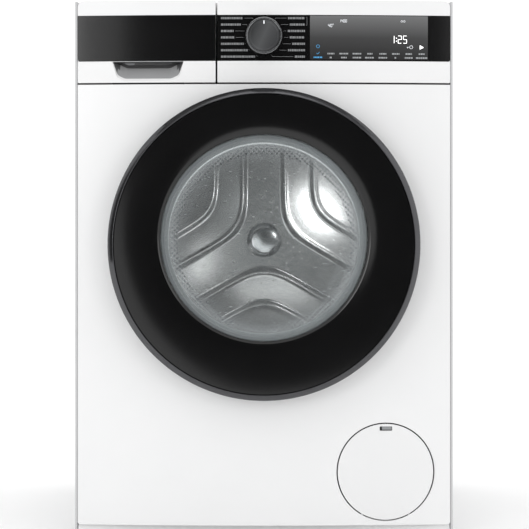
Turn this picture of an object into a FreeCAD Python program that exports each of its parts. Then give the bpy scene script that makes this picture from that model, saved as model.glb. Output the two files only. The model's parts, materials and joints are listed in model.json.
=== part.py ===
"""A front load washing machine, as a parametric FreeCAD document.

Frame: +X to the right as seen from the front, -Y towards the user, +Z up, in millimetres. The
origin is the middle of the footprint, on the floor.
"""

import FreeCAD, Part
import Sketcher
import math
import os
import re

# Driving dimensions. "front" is the Y of the front panel at mid width, where the bow stands out most.
SIZES = {
    "width": 598,
    "height": 848,
    "front": -271,
    "rear": 305,
    "steel": 1,
    "bow": 3600,
    "panel_half": 294.5,
    "panel_low": 19.5,
    "panel_high": 714.5,
    "fascia_low": 717.3,
    "fascia_high": 846.5,
    "split": -74.8,
    "split_gap": 1.5,
    "band_low": 751.2,
    "band_high": 823.4,
    "band_thick": 2.5,
    "dial_high": 789.9,
    "dial_reach": 29,
    "door_high": 462,
    "door_reach": 243,
    "window_high": 472,
    "window_reach": 160,
    "port_reach": 178,
    "hinge_across": -232,
    "hinge_ahead": 14,
    "latch_across": 204,
    "drum_high": 470,
    "drum_reach": 240,
    "drum_start": 76,
    "drum_end": 410,
    "drum_mouth": 152,
    "tub_reach": 258,
    "tub_wall": 4,
    "tub_start": 64,
    "tub_joint": 240,
    "tub_end": 430,
    "shaft_reach": 15,
    "pulley_reach": 140,
    "pulley_start": 474,
    "pulley_end": 492,
    "motor_across": 70,
    "motor_high": 138,
    "rotor_reach": 11,
    "belt_gap": 0.4,
    "valve_across": -190,
    "pump_across": 191.8,
    "flap_high": 103.5,
    "flap_reach": 75.8,
    "flap_pivot_high": 36,
    "flap_pivot_deep": 1.15,
    "inlet_reach": 13.2,
    "drawer_left": -286,
    "drawer_right": -90,
    "drawer_deep": 240,
    "damper_across": 205,
    "damper_deep": 262,
    "spring_across": 238,
    "spring_deep": 290,
    "foot_across": 258,
    "foot_deep": 221,
    "running_fit": 0.05,
}

doc = FreeCAD.newDocument("FrontLoadWasher")
sheet = doc.addObject("Spreadsheet::Sheet", "Sizes")
for row, (alias, number) in enumerate(SIZES.items(), 1):
    sheet.set(f"A{row}", alias)
    sheet.set(f"B{row}", str(number))
    sheet.setAlias(f"B{row}", alias)
doc.recompute()

ORIGIN_PLANES = {"x": "YZ_Plane", "y": "XZ_Plane", "z": "XY_Plane"}
TURNS = {
    "x": FreeCAD.Rotation(FreeCAD.Vector(0, 1, 0), 90),
    "y": FreeCAD.Rotation(FreeCAD.Vector(1, 0, 0), -90),
    "z": FreeCAD.Rotation(),
}
FLAP_PIVOT_Y = "(front + pump_across * pump_across / 2 / bow + flap_pivot_deep)"
nodes = []


def formula(text):
    """An expression in which each size's name refers to its cell."""
    return re.sub(r"[a-z][a-z_]*", lambda word: "Sizes." + word.group(), str(text))


def value(text):
    """The number that a formula gives."""
    return float(sheet.evalExpression(formula(text)))


def node(label, item):
    """Names a finished sub-part, so that it is checked and written."""
    item.Label = label
    nodes.append(item)
    return item


def box(x, y, z):
    """A block between a low and a high formula along each axis."""
    item = doc.addObject("Part::Box", "Block")
    for side, axis, (low, high) in zip(("Length", "Width", "Height"), "xyz", (x, y, z)):
        item.setExpression(side, formula(f"({high}) - ({low})"))
        item.setExpression("Placement.Base." + axis, formula(low))
    return item


def rod(radius, x, y, z):
    """A cylinder along the one axis that is given as a (start, end) pair."""
    places = {"x": x, "y": y, "z": z}
    along = next(axis for axis, place in places.items() if isinstance(place, tuple))
    start, end = places[along]
    item = doc.addObject("Part::Cylinder", "Rod")
    item.Placement = FreeCAD.Placement(FreeCAD.Vector(), TURNS[along])
    item.setExpression("Radius", formula(radius))
    item.setExpression("Height", formula(f"({end}) - ({start})"))
    for axis, place in places.items():
        item.setExpression("Placement.Base." + axis, formula(start if axis == along else place))
    return item


def fuse(*items):
    """Several solids joined into one."""
    if len(items) == 1:
        return items[0]
    item = doc.addObject("Part::MultiFuse", "Fusion")
    item.Shapes = list(items)
    return item


def cut(base, *tools):
    """A solid with others taken out of it."""
    item = doc.addObject("Part::Cut", "Cut")
    item.Base = base
    item.Tool = fuse(*tools)
    return item


def common(*items):
    """What several solids share."""
    item = doc.addObject("Part::MultiCommon", "Common")
    item.Shapes = list(items)
    return item


def group(*items):
    """Several separate solids in one sub-part."""
    item = doc.addObject("Part::Compound", "Group")
    item.Links = list(items)
    return item


def tube(outer, inner, x, y, z):
    """A cylinder with a bore along it."""
    return cut(rod(outer, x, y, z), rod(inner, x, y, z))


def about_drum(item, degrees):
    """The same piece, turned about the drum's axis."""
    turn = FreeCAD.Rotation(FreeCAD.Vector(0, 1, 0), degrees)
    centre = FreeCAD.Vector(0, 0, value("drum_high"))
    placed = doc.addObject("Part::Compound", "Turned")
    placed.Links = [item]
    placed.Placement = FreeCAD.Placement(FreeCAD.Vector(), turn, centre)
    return placed


def along_flap(item):
    """The same piece, turned to lie along the bowed face where the service flap is hinged."""
    slope = math.degrees(math.asin(value("pump_across / bow")))
    turn = FreeCAD.Rotation(FreeCAD.Vector(0, 0, 1), slope)
    centre = FreeCAD.Vector(value("pump_across"), value(FLAP_PIVOT_Y), 0)
    placed = doc.addObject("Part::Compound", "Sloped")
    placed.Links = [item]
    placed.Placement = FreeCAD.Placement(FreeCAD.Vector(), turn, centre)
    return placed


def sketch_outline(body, along, corners):
    """A closed outline of straight edges, each corner held by two bound distances."""
    sketch = body.newObject("Sketcher::SketchObject", "Outline")
    planes = body.Origin.OriginFeatures
    plane = next(item for item in planes if item.Role == ORIGIN_PLANES[along])
    sketch.AttachmentSupport = (plane, [""])
    sketch.MapMode = "FlatFace"
    places = [FreeCAD.Vector(value(across), value(up), 0) for across, up in corners]
    for place, following in zip(places, places[1:] + places[:1]):
        sketch.addGeometry(Part.LineSegment(place, following), False)
    for index, (corner, place) in enumerate(zip(corners, places)):
        following = (index + 1) % len(corners)
        sketch.addConstraint(Sketcher.Constraint("Coincident", index, 2, following, 1))
        for kind, text, number in zip(("DistanceX", "DistanceY"), corner, place):
            held = sketch.addConstraint(Sketcher.Constraint(kind, -1, 1, index, 1, number))
            sketch.setExpression(f"Constraints[{held}]", formula(text))
    return sketch


def prism(along, start, end, corners):
    """An outline padded along an axis. The corners are (y, z), (x, z) or (x, y) formulas."""
    body = doc.addObject("PartDesign::Body", "Prism")
    pad = body.newObject("PartDesign::Pad", "Pad")
    pad.Profile = sketch_outline(body, along, corners)
    pad.setExpression("Length", formula(f"({end}) - ({start})"))
    body.Tip = pad
    body.setExpression("Placement.Base." + along, formula(end if along == "y" else start))
    return body


def turned(x, z, profile):
    """An outline of (radius, y) corners turned about the Y axis through x and z."""
    body = doc.addObject("PartDesign::Body", "Turned")
    sketch = sketch_outline(body, "x", [(y, radius) for radius, y in profile])
    turn = body.newObject("PartDesign::Revolution", "Revolution")
    turn.Profile = sketch
    turn.ReferenceAxis = (sketch, ["H_Axis"])
    turn.Angle = 360
    body.Tip = turn
    body.setExpression("Placement.Base.x", formula(x))
    body.setExpression("Placement.Base.z", formula(z))
    return body


def bowed(x, z, inset, back):
    """A block whose front follows the bowed face of the machine, set in by inset."""
    block = box(x, ("front - 5", back), z)
    return common(block, rod(f"bow - ({inset})", 0, "front + bow", z))


def bowed_shell(x, z, inset, wall, back):
    """A bowed block hollowed from behind, with returns at its four edges."""
    inner_x = (f"{x[0]} + {wall}", f"{x[1]} - ({wall})")
    inner_z = (f"{z[0]} + {wall}", f"{z[1]} - ({wall})")
    hollow = bowed(inner_x, inner_z, f"{inset} + {wall}", f"{back} + 1")
    return cut(bowed(x, z, inset, back), hollow)


def shaped(shape, place=FreeCAD.Vector()):
    """A sub-part whose shape is made by Part's own functions, moved to its place."""
    item = doc.addObject("Part::Feature", "Shaped")
    item.Shape = shape
    item.Placement = FreeCAD.Placement(place, FreeCAD.Rotation())
    return item


def hose(points, bend, outer, inner):
    """A hose along straight runs joined by tangent arcs of one bend radius."""
    corners = [FreeCAD.Vector(*(value(part) for part in point)) for point in points]
    edges = []
    start = corners[0]
    for before, corner, after in zip(corners, corners[1:], corners[2:]):
        back = (before - corner).normalize()
        ahead = (after - corner).normalize()
        half_turn = back.getAngle(ahead) / 2
        reach = bend / math.tan(half_turn)
        middle_reach = bend / math.sin(half_turn) - bend
        middle = corner + (back + ahead).normalize() * middle_reach
        arc_start = corner + back * reach
        arc_end = corner + ahead * reach
        edges.append(Part.LineSegment(start, arc_start).toShape())
        edges.append(Part.Arc(arc_start, middle, arc_end).toShape())
        start = arc_end
    edges.append(Part.LineSegment(start, corners[-1]).toShape())
    path = Part.Wire(edges)
    heading = corners[1] - corners[0]
    solids = []
    for radius in (outer, inner):
        ring = Part.Wire([Part.makeCircle(radius, corners[0], heading)])
        solids.append(path.makePipeShell([ring], True, True))
    return shaped(solids[0].cut(solids[1]))


def coil(x, y, low, high, coil_radius, wire_radius, turns):
    """A helical spring about a vertical axis."""
    height = value(high) - value(low)
    helix = Part.makeHelix(height / turns, height, coil_radius)
    ring = Part.Wire([Part.makeCircle(
        wire_radius, FreeCAD.Vector(coil_radius, 0, 0), FreeCAD.Vector(0, 1, 0))])
    spring = Part.Wire(helix).makePipeShell([ring], True, True)
    return shaped(spring, FreeCAD.Vector(value(x), value(y), value(low)))


# ---------------------------------------------------------------- cabinet

def side_panel(side):
    """One steel side, folded round the front corner, with a flange at the back."""
    corners = [
        ("width / 2", "rear"), ("width / 2", "front + 17"), ("width / 2 - 2.5", "front + 14"),
        ("panel_half + 0.7", "front + 14"), ("panel_half + 0.7", "front + 34"),
        ("panel_half + 1.7", "front + 34"), ("panel_half + 1.7", "front + 15.4"),
        ("width / 2 - steel", "front + 17.4"), ("width / 2 - steel", "rear - 2"),
        ("width / 2 - 20", "rear - 2"), ("width / 2 - 20", "rear - 1"),
        ("width / 2 - steel", "rear - 1"), ("width / 2 - steel", "rear"),
    ]
    outline = [(f"{side} * ({x})", y) for x, y in corners]
    if side < 0:
        outline.reverse()
    return prism("z", "10", "height - 2", outline)


def rear_panel():
    """The flat steel back, with openings for the cover, valve, drain and lead."""
    sheet_metal = box(("-width / 2 + 1.2", "width / 2 - 1.2"), ("rear - 1", "rear"), (20, "height - 2"))
    return cut(
        sheet_metal,
        rod(168, 0, ("rear - 2", "rear + 1"), "drum_high"),
        rod("inlet_reach + 0.4", "valve_across", ("rear - 2", "rear + 1"), 780),
        rod(9, 235, ("rear - 2", "rear + 1"), 780),
        rod(15, 235, ("rear - 2", "rear + 1"), 120),
        *(rod(9, x, ("rear - 2", "rear + 1"), z) for x, z in ((-190, 250), (190, 250), (-190, 690))),
    )


def rear_access_cover():
    """A dished steel cover over the pulley."""
    return turned(0, "drum_high", [
        (0, "rear + 8"), (0, "rear + 9"), (150, "rear + 9"), (166, "rear + 1"), (182, "rear + 1"),
        (182, "rear"), (165.5, "rear"), (149.5, "rear + 8")])


def base_pan():
    """A shallow tray with a front apron, ears for the flap and posts for the dampers."""
    inside = 294
    parts = [
        box((-inside, inside), ("front + 16", "rear - 3"), (8, 11)),
        box((-inside, inside), ("front + 16", "front + 18"), (8, 18.8)),
        box((-inside, inside), ("front + 36", "front + 39"), (8, 46)),
        box((-inside, inside), ("rear - 6", "rear - 3"), (8, 46)),
        box((-inside, -inside + 3), ("front + 36", "rear - 3"), (8, 46)),
        box((inside - 3, inside), ("front + 36", "rear - 3"), (8, 46)),
    ]
    for low, high in ((-38.7, -35.7), (35.7, 38.7)):
        x = (f"pump_across + {low}", f"pump_across + {high}")
        arm = box(x, (f"{FLAP_PIVOT_Y} + 1.6", "front + 38"), (26, 44))
        nose = box(x, (f"{FLAP_PIVOT_Y} + 0.35", f"{FLAP_PIVOT_Y} + 2"),
                   ("flap_pivot_high - 2.1", "flap_pivot_high + 0.4"))
        seat = rod("0.9 + running_fit", x, FLAP_PIVOT_Y, "flap_pivot_high")
        parts.append(along_flap(cut(fuse(arm, nose), seat)))
    bores = []
    for x in ("-foot_across", "foot_across"):
        for y in ("-foot_deep", "foot_deep"):
            parts.append(rod(14, x, y, (8, 40)))
            bores.append(rod("6 + running_fit", x, y, (7, 41)))
    return cut(fuse(*parts), *bores)


def front_panel():
    """A bowed steel sheet with a turned-in port, the flap's hole and the latch slot."""
    outer = bowed(("-panel_half", "panel_half"), ("panel_low", "panel_high"), 0, "front + 30")
    hollow = bowed(
        ("-panel_half + steel", "panel_half - steel"), ("panel_low + steel", "panel_high - steel"),
        "steel", "front + 31")
    port_tube = rod("port_reach + steel", 0, ("front - 6", "front + 16"), "window_high")
    return cut(
        outer,
        cut(hollow, port_tube),
        rod("port_reach", 0, ("front - 6", "front + 32"), "window_high"),
        rod("flap_reach + 1.8", "pump_across", ("front - 6", "front + 32"), "flap_high"),
        box(("latch_across - 10", "latch_across + 12"), ("front - 6", "front + 12"),
            ("door_high - 14", "door_high + 14")),
    )


def worktop():
    """A board between the sides, under a laminate sheet that covers their top edges."""
    board = box(("-panel_half + 0.5", "panel_half - 0.5"), ("front + 36", "rear - 3"),
                ("height - 18", "height - 1.8"))
    laminate = box(("-width / 2", "width / 2"), ("front + 36", "rear"), ("height - 1.8", "height"))
    return fuse(board, laminate)


def cross_rails():
    """Folded steel rails under the worktop, and the two hangers for the springs."""
    rails = []
    for low, high in (("front + 44", "front + 74"), ("rear - 60", "rear - 30")):
        flat = box((-297, 297), (low, high), ("height - 20", "height - 18.5"))
        fold = box((-297, 297), (f"{high} - 1.5", high), ("height - 28", "height - 18.5"))
        rails.append(fuse(flat, fold))
    for side in (-1, 1):
        ends = tuple(sorted((side * 297, side * 215)))
        rails.append(box(ends, ("front + spring_deep - 15", "front + spring_deep + 15"), (792, 795)))
    return group(*rails)


def cabinet_screws():
    """Hexagon-head screws that hold the rear panel and its cover."""
    spots = [(side * 285, z) for side in (-1, 1) for z in (60, 300, 540, 800)]
    screws = [rod(4.5, x, ("rear", "rear + 3"), z) for x, z in spots]
    for turn in range(6):
        angle = math.radians(30 + 60 * turn)
        x = round(174 * math.cos(angle), 2)
        z = round(174 * math.sin(angle), 2)
        screws.append(rod(4.5, x, ("rear + 1", "rear + 4"), f"drum_high + {z}"))
    return group(*screws)


def transport_bolt_covers():
    """Three caps over the holes of the transport bolts."""
    covers = []
    for x, z in ((-190, 250), (190, 250), (-190, 690)):
        covers.append(fuse(rod(14, x, ("rear", "rear + 3"), z), rod(8.9, x, ("rear - 8", "rear"), z)))
    return group(*covers)


def foot(x, y):
    """A levelling foot: a pad under a threaded stem, drawn plain."""
    return fuse(rod(22, x, y, (0, 7.5)), rod(6, x, y, (0, 52)))


# ---------------------------------------------------------------- controls

def fascia():
    """The moulding that carries the controls, to the right of the drawer."""
    x = ("split + split_gap", "panel_half")
    shell = bowed_shell(x, ("fascia_low", "fascia_high"), 0, 4, "front + 35.5")
    pocket = bowed(("split", "panel_half + 1"), ("band_low", "band_high"), 0, "front + 40")
    floor = bowed(("split", "panel_half + 1"), ("band_low", "band_high"), "band_thick", "front + 40")
    dial_hole = rod(22, 0, ("front - 6", "front + 20"), "dial_high")
    return cut(shell, cut(pocket, floor), dial_hole)


def band_piece(x):
    """A stretch of the glossy black band, flush with the white around it."""
    z = ("band_low", "band_high")
    return cut(bowed(x, z, 0, "front + 40"), bowed(x, z, "band_thick", "front + 41"))


def control_band():
    """The glossy band over the dial and the display."""
    band = band_piece(("split + split_gap", "panel_half"))
    return cut(band, rod(22, 0, ("front - 6", "front + 20"), "dial_high"))


def drawer_band():
    """The part of the glossy band that rides on the drawer."""
    return band_piece(("-panel_half", "split - split_gap"))


def programme_knob():
    """The dial, on a shaft that runs back to the board."""
    shaft = rod(3, 0, ("front - 1", "front + 26"), "dial_high")
    body = turned(0, "dial_high", [
        (0, "front - 12"), ("dial_reach - 5", "front - 12"), ("dial_reach - 4", "front - 11"),
        ("dial_reach - 4", "front - 0.6"), (20, "front - 0.6"), (20, "front + 2"), (0, "front + 2")])
    return fuse(body, shaft)


def knob_ring():
    """The bright bezel round the dial."""
    return turned(0, "dial_high", [
        ("dial_reach - 4", "front - 11"), ("dial_reach - 3", "front - 13"),
        ("dial_reach - 1", "front - 13"), ("dial_reach", "front - 11"),
        ("dial_reach", "front - 0.6"), ("dial_reach - 4", "front - 0.6")])


def display_board():
    """The control board's box, with the display block that sits behind the band."""
    case = box((-45, 270), ("front + 27", "front + 44"), (750, 818))
    display = box((72, 259), ("front + 14", "front + 27"), (753, 818))
    encoder = rod(12, 0, ("front + 14", "front + 27"), "dial_high")
    bore = rod("3 + running_fit", 0, ("front + 13", "front + 27"), "dial_high")
    return cut(fuse(case, display, encoder), bore)


# ---------------------------------------------------------------- drawer

def drawer_front():
    """The white drawer front, with the pocket for its band and a scooped finger handle."""
    x = ("-panel_half", "split - split_gap")
    shell = bowed_shell(x, ("fascia_low", "fascia_high"), 0, 4, "front + 35.5")
    pocket = bowed(("-panel_half - 1", "split + 5"), ("band_low", "band_high"), 0, "front + 40")
    floor = bowed(("-panel_half - 1", "split + 5"), ("band_low", "band_high"), "band_thick", "front + 40")
    backing = bowed((-246, -122), ("fascia_low", 772), 0.5, "front + 30")
    scoop = prism("y", "front - 8", "front + 25", [
        (-240, 747), (-226, 722), (-212, 718.8), (-156, 718.8), (-142, 722), (-128, 747)])
    sloped = prism("x", -250, -118, [
        ("front - 9", 700), ("front + 32", 700), ("front + 32", 745), ("front + 23", 745),
        ("front - 9", 703.4)])
    behind = box((-236, -132), ("front + 13", "front + 25"), (740, 765))
    return cut(fuse(shell, backing), cut(pocket, floor), cut(scoop, sloped), behind)


def drawer_tray():
    """An open tray with three detergent compartments and a stop lug at the back."""
    x = ("drawer_left", "drawer_right")
    y = ("front + 30", "front + drawer_deep")
    body = box(x, y, (746, 806))
    wells = []
    for low, high in (("drawer_left + 2", -222), (-220, -154), (-152, "drawer_right - 2")):
        wells.append(box((low, high), ("front + 50", "front + drawer_deep - 2"), (749, 807)))
    neck = box(("drawer_left + 3", "drawer_right - 3"), ("front + 32", "front + 48"), (749, 807))
    ears = [box(x, ("front + 222", "front + drawer_deep"), (786, 797)) for x in ((-207, -202), (-172, -167))]
    insert_bore = rod("2 + running_fit", (-285.6, -220.4), "front + 139", 798)
    lever_bore = rod("2 + running_fit", (-207, -167), "front + 228", 791.5)
    return cut(fuse(cut(body, *wells, neck), *ears), insert_bore, lever_bore)


def dosing_insert():
    """A flap that is folded down for liquid detergent, hung from its top corners."""
    flap = box((-283.4, -222.6), ("front + 138", "front + 140"), (756, 798))
    return fuse(flap, rod(2, (-285.4, -220.6), "front + 139", 798))


def drawer_release_lever():
    """The press lever at the back of the tray that frees it from the housing."""
    lever = box((-200, -174), ("front + 200", "front + 232"), (790, 793))
    return fuse(lever, rod(2, (-206, -168), "front + 228", 791.5))


def dispenser_housing():
    """The box that the drawer slides in, with its outlet and its water inlet."""
    outer = box((-291, -82), ("front + 36", "front + drawer_deep + 26"), (738, 818))
    inner = box((-288, -85), ("front + 35", "front + drawer_deep + 23"), (741, 815))
    outlet = rod(19, -160, "front + 120", (724, 740))
    inlet = rod(10, "valve_across", ("front + drawer_deep + 24", "front + drawer_deep + 44"), 780)
    bores = (rod(15, -160, "front + 120", (723, 742)),
             rod(7, "valve_across", ("front + drawer_deep + 20", "front + drawer_deep + 45"), 780))
    return cut(fuse(cut(outer, inner), outlet, inlet), *bores)


# ---------------------------------------------------------------- door

def notch(wide):
    """Where the door is cut away for the hinge arm that swings past its edge."""
    return box((-246, -206), ("front - 21", "front"), (f"door_high - {wide}", f"door_high + {wide}"))


def door_ring():
    """The glossy outer shell: a dished face, a rim and a wall round the window."""
    face = turned(0, "door_high", [
        (0, "front - 2"), ("door_reach - 3", "front - 2"), ("door_reach - 3", "front - 35"),
        ("door_reach - 11", "front - 43"), ("door_reach - 14", "front - 43"),
        ("door_reach - 14", "front - 45.6"), (165, "front - 41"), (0, "front - 41")])
    hollow = turned(0, "door_high", [
        (0, "front"), ("door_reach - 6", "front"), ("door_reach - 6", "front - 34"),
        ("door_reach - 13", "front - 40.2"), (165, "front - 37.5"), (0, "front - 37.5")])
    wall = rod("window_reach + 4", 0, ("front - 38", "front - 13"), "window_high")
    opening = rod("window_reach", 0, ("front - 50", "front"), "window_high")
    boss_room = rod(5.3, "hinge_across", "front - hinge_ahead", ("door_high - 28", "door_high + 28"))
    return cut(face, cut(hollow, wall), opening, notch(18), boss_room)


def door_rim_trim():
    """The chamfered rim round the door."""
    return turned(0, "door_high", [
        ("door_reach", "front - 20"), ("door_reach", "front - 36"), ("door_reach - 10", "front - 46"),
        ("door_reach - 14", "front - 46"), ("door_reach - 14", "front - 43"),
        ("door_reach - 11", "front - 43"), ("door_reach - 3", "front - 35"),
        ("door_reach - 3", "front - 20")])


def door_inner_frame():
    """The rear ring that clamps the glass and carries the hinge bosses."""
    plate = rod("door_reach - 6", 0, ("front - 8", "front - 2"), "door_high")
    bosses = []
    for low, high in ((18.5, 27), (-27, -18.5)):
        z = (f"door_high + {low}", f"door_high + {high}")
        bosses.append(rod(5, "hinge_across", "front - hinge_ahead", z))
        bosses.append(box(("hinge_across", -206), ("front - hinge_ahead - 3", "front - 2"), z))
    for low, high in ((7, 12), (-12, -7)):
        z = (f"door_high + {low}", f"door_high + {high}")
        bosses.append(box(("latch_across - 5", "latch_across + 5"), ("front - 27", "front - 7"), z))
    glass_seat = rod(156, 0, ("front - 9", "front"), "window_high")
    pin_bore = rod(3, "hinge_across", "front - hinge_ahead", ("door_high - 28", "door_high + 28"))
    latch_slot = box(("latch_across - 8", "latch_across + 8"), ("front - 9", "front"),
                     ("door_high - 6", "door_high + 6"))
    latch_bore = rod("2.5 + running_fit", "latch_across", "front - 22", ("door_high - 13", "door_high + 13"))
    return cut(fuse(plate, *bosses), glass_seat, notch(18), pin_bore, latch_slot, latch_bore)


def door_glass():
    """A thick glass bowl that reaches into the drum's mouth."""
    return turned(0, "window_high", [
        (164, "front - 12.8"), (164, "front - 8"), (155.5, "front - 8"), (151, "front + 4"),
        (143, "front + 34"), (128, "front + 56"), (104, "front + 68"), (0, "front + 72"),
        (0, "front + 67"), (102, "front + 63"), (123, "front + 52.5"), (137.5, "front + 32"),
        (146, "front + 2"), (150, "front - 12.8")])


def hinge_pin():
    """The upright pin that the door turns on."""
    pin_z = ("door_high - 27", "door_high + 27")
    return rod(3, "hinge_across", "front - hinge_ahead", pin_z)


def door_hinge():
    """A plate in front of the panel, with one knuckle arm round the pin."""
    plate = box((-212, -184), ("front + 0.8", "front + 4"), ("door_high - 55", "door_high + 55"))
    arm_z = ("door_high - 16", "door_high + 16")
    knuckle = rod(7, "hinge_across", "front - hinge_ahead", arm_z)
    arm = prism("z", *arm_z, [
        ("hinge_across + 3", "front - hinge_ahead - 5"), (-206, "front + 0.8"), (-206, "front + 4"),
        (-212, "front + 4"), ("hinge_across - 5", "front - hinge_ahead + 4")])
    screws = []
    for z in ("door_high - 42", "door_high + 42"):
        screws.append(rod(5, -198, ("front - 0.6", "front + 1"), z))
    bore = rod("3 + running_fit", "hinge_across", "front - hinge_ahead", ("door_high - 17", "door_high + 17"))
    return cut(fuse(plate, knuckle, arm, *screws), bore)


def latch_hook():
    """A sprung hook on a short vertical axle inside the door."""
    y = ("front - 26", "front + 20")
    z = ("door_high - 5", "door_high + 5")
    arm = box(("latch_across - 3", "latch_across + 3"), y, z)
    tip = prism("z", *z, [
        ("latch_across + 3", "front + 10"), ("latch_across + 8", "front + 10"),
        ("latch_across + 3", "front + 20")])
    axle = rod(2.5, "latch_across", "front - 22", ("door_high - 12", "door_high + 12"))
    return fuse(arm, tip, axle)


def door_lock():
    """The lock's case behind the front panel, with a cavity for the hook and its bolt."""
    case = box(("latch_across - 18", "latch_across + 26"), ("front + 12", "front + 36"),
               ("door_high - 40", "door_high + 28"))
    cavity = box(("latch_across - 14", "latch_across + 14"), ("front + 11", "front + 28"),
                 ("door_high - 11", "door_high + 11"))
    bolt_way = box(("latch_across - 4.2", "latch_across + 4.2"), ("front + 20.4", "front + 26.6"),
                   ("door_high - 34", "door_high - 10"))
    return cut(case, cavity, bolt_way)


def door_lock_bolt():
    """The bolt that locks the door hook."""
    return box(("latch_across - 4", "latch_across + 4"), ("front + 20.6", "front + 26.4"),
               ("door_high - 33", "door_high - 13"))


def door_gasket():
    """The rubber bellows between the port and the tub, with a lip that meets the glass."""
    return turned(0, "window_high", [
        ("port_reach - 0.4", "front + 1"), ("port_reach - 0.4", "front + 17"), (183, "front + 17"),
        (183, "front + 24"), (176, "front + 24"), (176, "front + 40"), (168, "front + 46"),
        (168, "front + tub_start"), (164, "front + tub_start"), (164, "front + 44"),
        (172, "front + 38"), (172, "front + 20"), (164, "front + 16"), (151, "front + 14"),
        (151, "front + 11"), (165, "front + 12"), (174, "front + 1")])


# ---------------------------------------------------------------- wash unit

def tub_front():
    """The front half of the plastic tub, with its mouth, top inlet, drain spigot and lugs."""
    y = ("front + tub_start", "front + tub_joint")
    wall = rod("tub_reach", 0, y, "drum_high")
    flange = rod("tub_reach + 6", 0, ("front + tub_joint - 8", "front + tub_joint"), "drum_high")
    spigots = (rod(17, 170, "front + 95", (236, 300)), rod(17, -160, "front + 120", (650, 700)))
    bores = (rod(13, 170, "front + 95", (235, 301)), rod(13, -160, "front + 120", (649, 701)))
    hollow = rod("tub_reach - tub_wall", 0, ("front + tub_start + tub_wall", "front + tub_joint + 1"),
                 "drum_high")
    mouth = rod(162, 0, ("front + tub_start - 1", "front + tub_start + 6"), "window_high")
    return cut(fuse(wall, flange, *spigots), hollow, mouth, *bores)


def tub_rear():
    """The rear half, with the bearing hub, ribs and lugs for the springs, dampers and motor."""
    y = ("front + tub_joint", "front + tub_end")
    wall = rod("tub_reach", 0, y, "drum_high")
    flange = rod("tub_reach + 6", 0, ("front + tub_joint", "front + tub_joint + 8"), "drum_high")
    hub = rod(45, 0, ("front + tub_end - 5", "front + tub_end + 34"), "drum_high")
    ribs = []
    for turn in range(6):
        rib = box((-3, 3), ("front + tub_end - 1", "front + tub_end + 18"),
                  ("drum_high + 40", "drum_high + tub_reach - 3"))
        ribs.append(about_drum(rib, 30 + 60 * turn))
    lugs = []
    for side in (-1, 1):
        spring = sorted((side * 205, side * 252))
        lugs.append(box(tuple(spring), ("spring_deep - 9 + front", "spring_deep + 9 + front"), (612, 630)))
        damper = sorted((side * 190, side * 220))
        lugs.append(box(tuple(damper), ("damper_deep - 16 + front", "damper_deep + 16 + front"), (262, 330)))
        lugs.append(box((f"motor_across + {side * 40 - 8}", f"motor_across + {side * 40 + 8}"),
                        ("front + 320", "front + 420"), (190, 245)))
    hollow = rod("tub_reach - tub_wall", 0, ("front + tub_joint - 1", "front + tub_end - tub_wall"),
                 "drum_high")
    bore = rod(26, 0, ("front + tub_end - 6", "front + tub_end + 35"), "drum_high")
    return cut(fuse(wall, flange, hub, *ribs, *lugs), hollow, bore)


def front_counterweight():
    """A concrete ring bolted round the tub's mouth."""
    y = ("front + tub_start - 26", "front + tub_start")
    return tube(250, 186, 0, y, "drum_high")


def upper_counterweight():
    """A concrete block that sits on the tub."""
    block = box((-62, 175), ("front + 100", "front + 340"), (640, 786))
    return cut(block, rod("tub_reach + 6", 0, ("front + 99", "front + 341"), "drum_high"))


def drum_shell():
    """The stainless drum: a cylinder, a front wall turned in round the mouth, a seamed-on back."""
    return turned(0, "drum_high", [
        ("drum_reach", "front + drum_end"), ("drum_reach", "front + drum_start + 14"),
        ("drum_reach - 14", "front + drum_start"), (168, "front + drum_start"),
        ("drum_mouth", "front + drum_start + 14"), ("drum_mouth + 1", "front + drum_start + 15"),
        (168.5, "front + drum_start + 1"), ("drum_reach - 14.5", "front + drum_start + 1"),
        ("drum_reach - 1", "front + drum_start + 14.5"), ("drum_reach - 1", "front + drum_end - 12"),
        (165, "front + drum_end - 12"), (150, "front + drum_end - 3"), (34, "front + drum_end - 3"),
        (28, "front + drum_end - 12"), (0, "front + drum_end - 12"), (0, "front + drum_end - 11"),
        (27.5, "front + drum_end - 11"), (33.5, "front + drum_end - 2"),
        (150.5, "front + drum_end - 2"), (165.5, "front + drum_end - 11"),
        ("drum_reach - 1", "front + drum_end - 11"), ("drum_reach - 1", "front + drum_end")])


def drum_paddles():
    """Three hollow lifter ribs round the inside of the drum."""
    paddles = []
    for degrees in (60, 180, 300):
        rib = prism("y", "front + drum_start + 30", "front + drum_end - 30", [
            (-24, "drum_high + drum_reach - 2.6"), (-12, "drum_high + drum_reach - 42"),
            (-6, "drum_high + drum_reach - 50"), (6, "drum_high + drum_reach - 50"),
            (12, "drum_high + drum_reach - 42"), (24, "drum_high + drum_reach - 2.6")])
        paddles.append(about_drum(rib, degrees))
    return group(*paddles)


def drum_spider():
    """The cast three-armed carrier behind the drum, on its shaft."""
    hub = rod(34, 0, ("front + drum_end - 2", "front + drum_end + 12"), "drum_high")
    shaft = rod("shaft_reach", 0, ("front + drum_end", "front + pulley_end + 6"), "drum_high")
    arms = []
    for degrees in (0, 120, 240):
        arm = prism("y", "front + drum_end - 2", "front + drum_end + 10", [
            (-18, "drum_high + 20"), (18, "drum_high + 20"), (11, "drum_high + drum_reach - 3"),
            (-11, "drum_high + drum_reach - 3")])
        arms.append(about_drum(arm, degrees))
    return fuse(hub, shaft, *arms)


def drum_bearings():
    """Two ball bearings, each drawn as one ring, in the tub's hub."""
    rings = []
    for start, end in ((1, 14), (18, 32)):
        y = (f"front + tub_end + {start}", f"front + tub_end + {end}")
        rings.append(tube(26, "shaft_reach + running_fit", 0, y, "drum_high"))
    return group(*rings)


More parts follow.
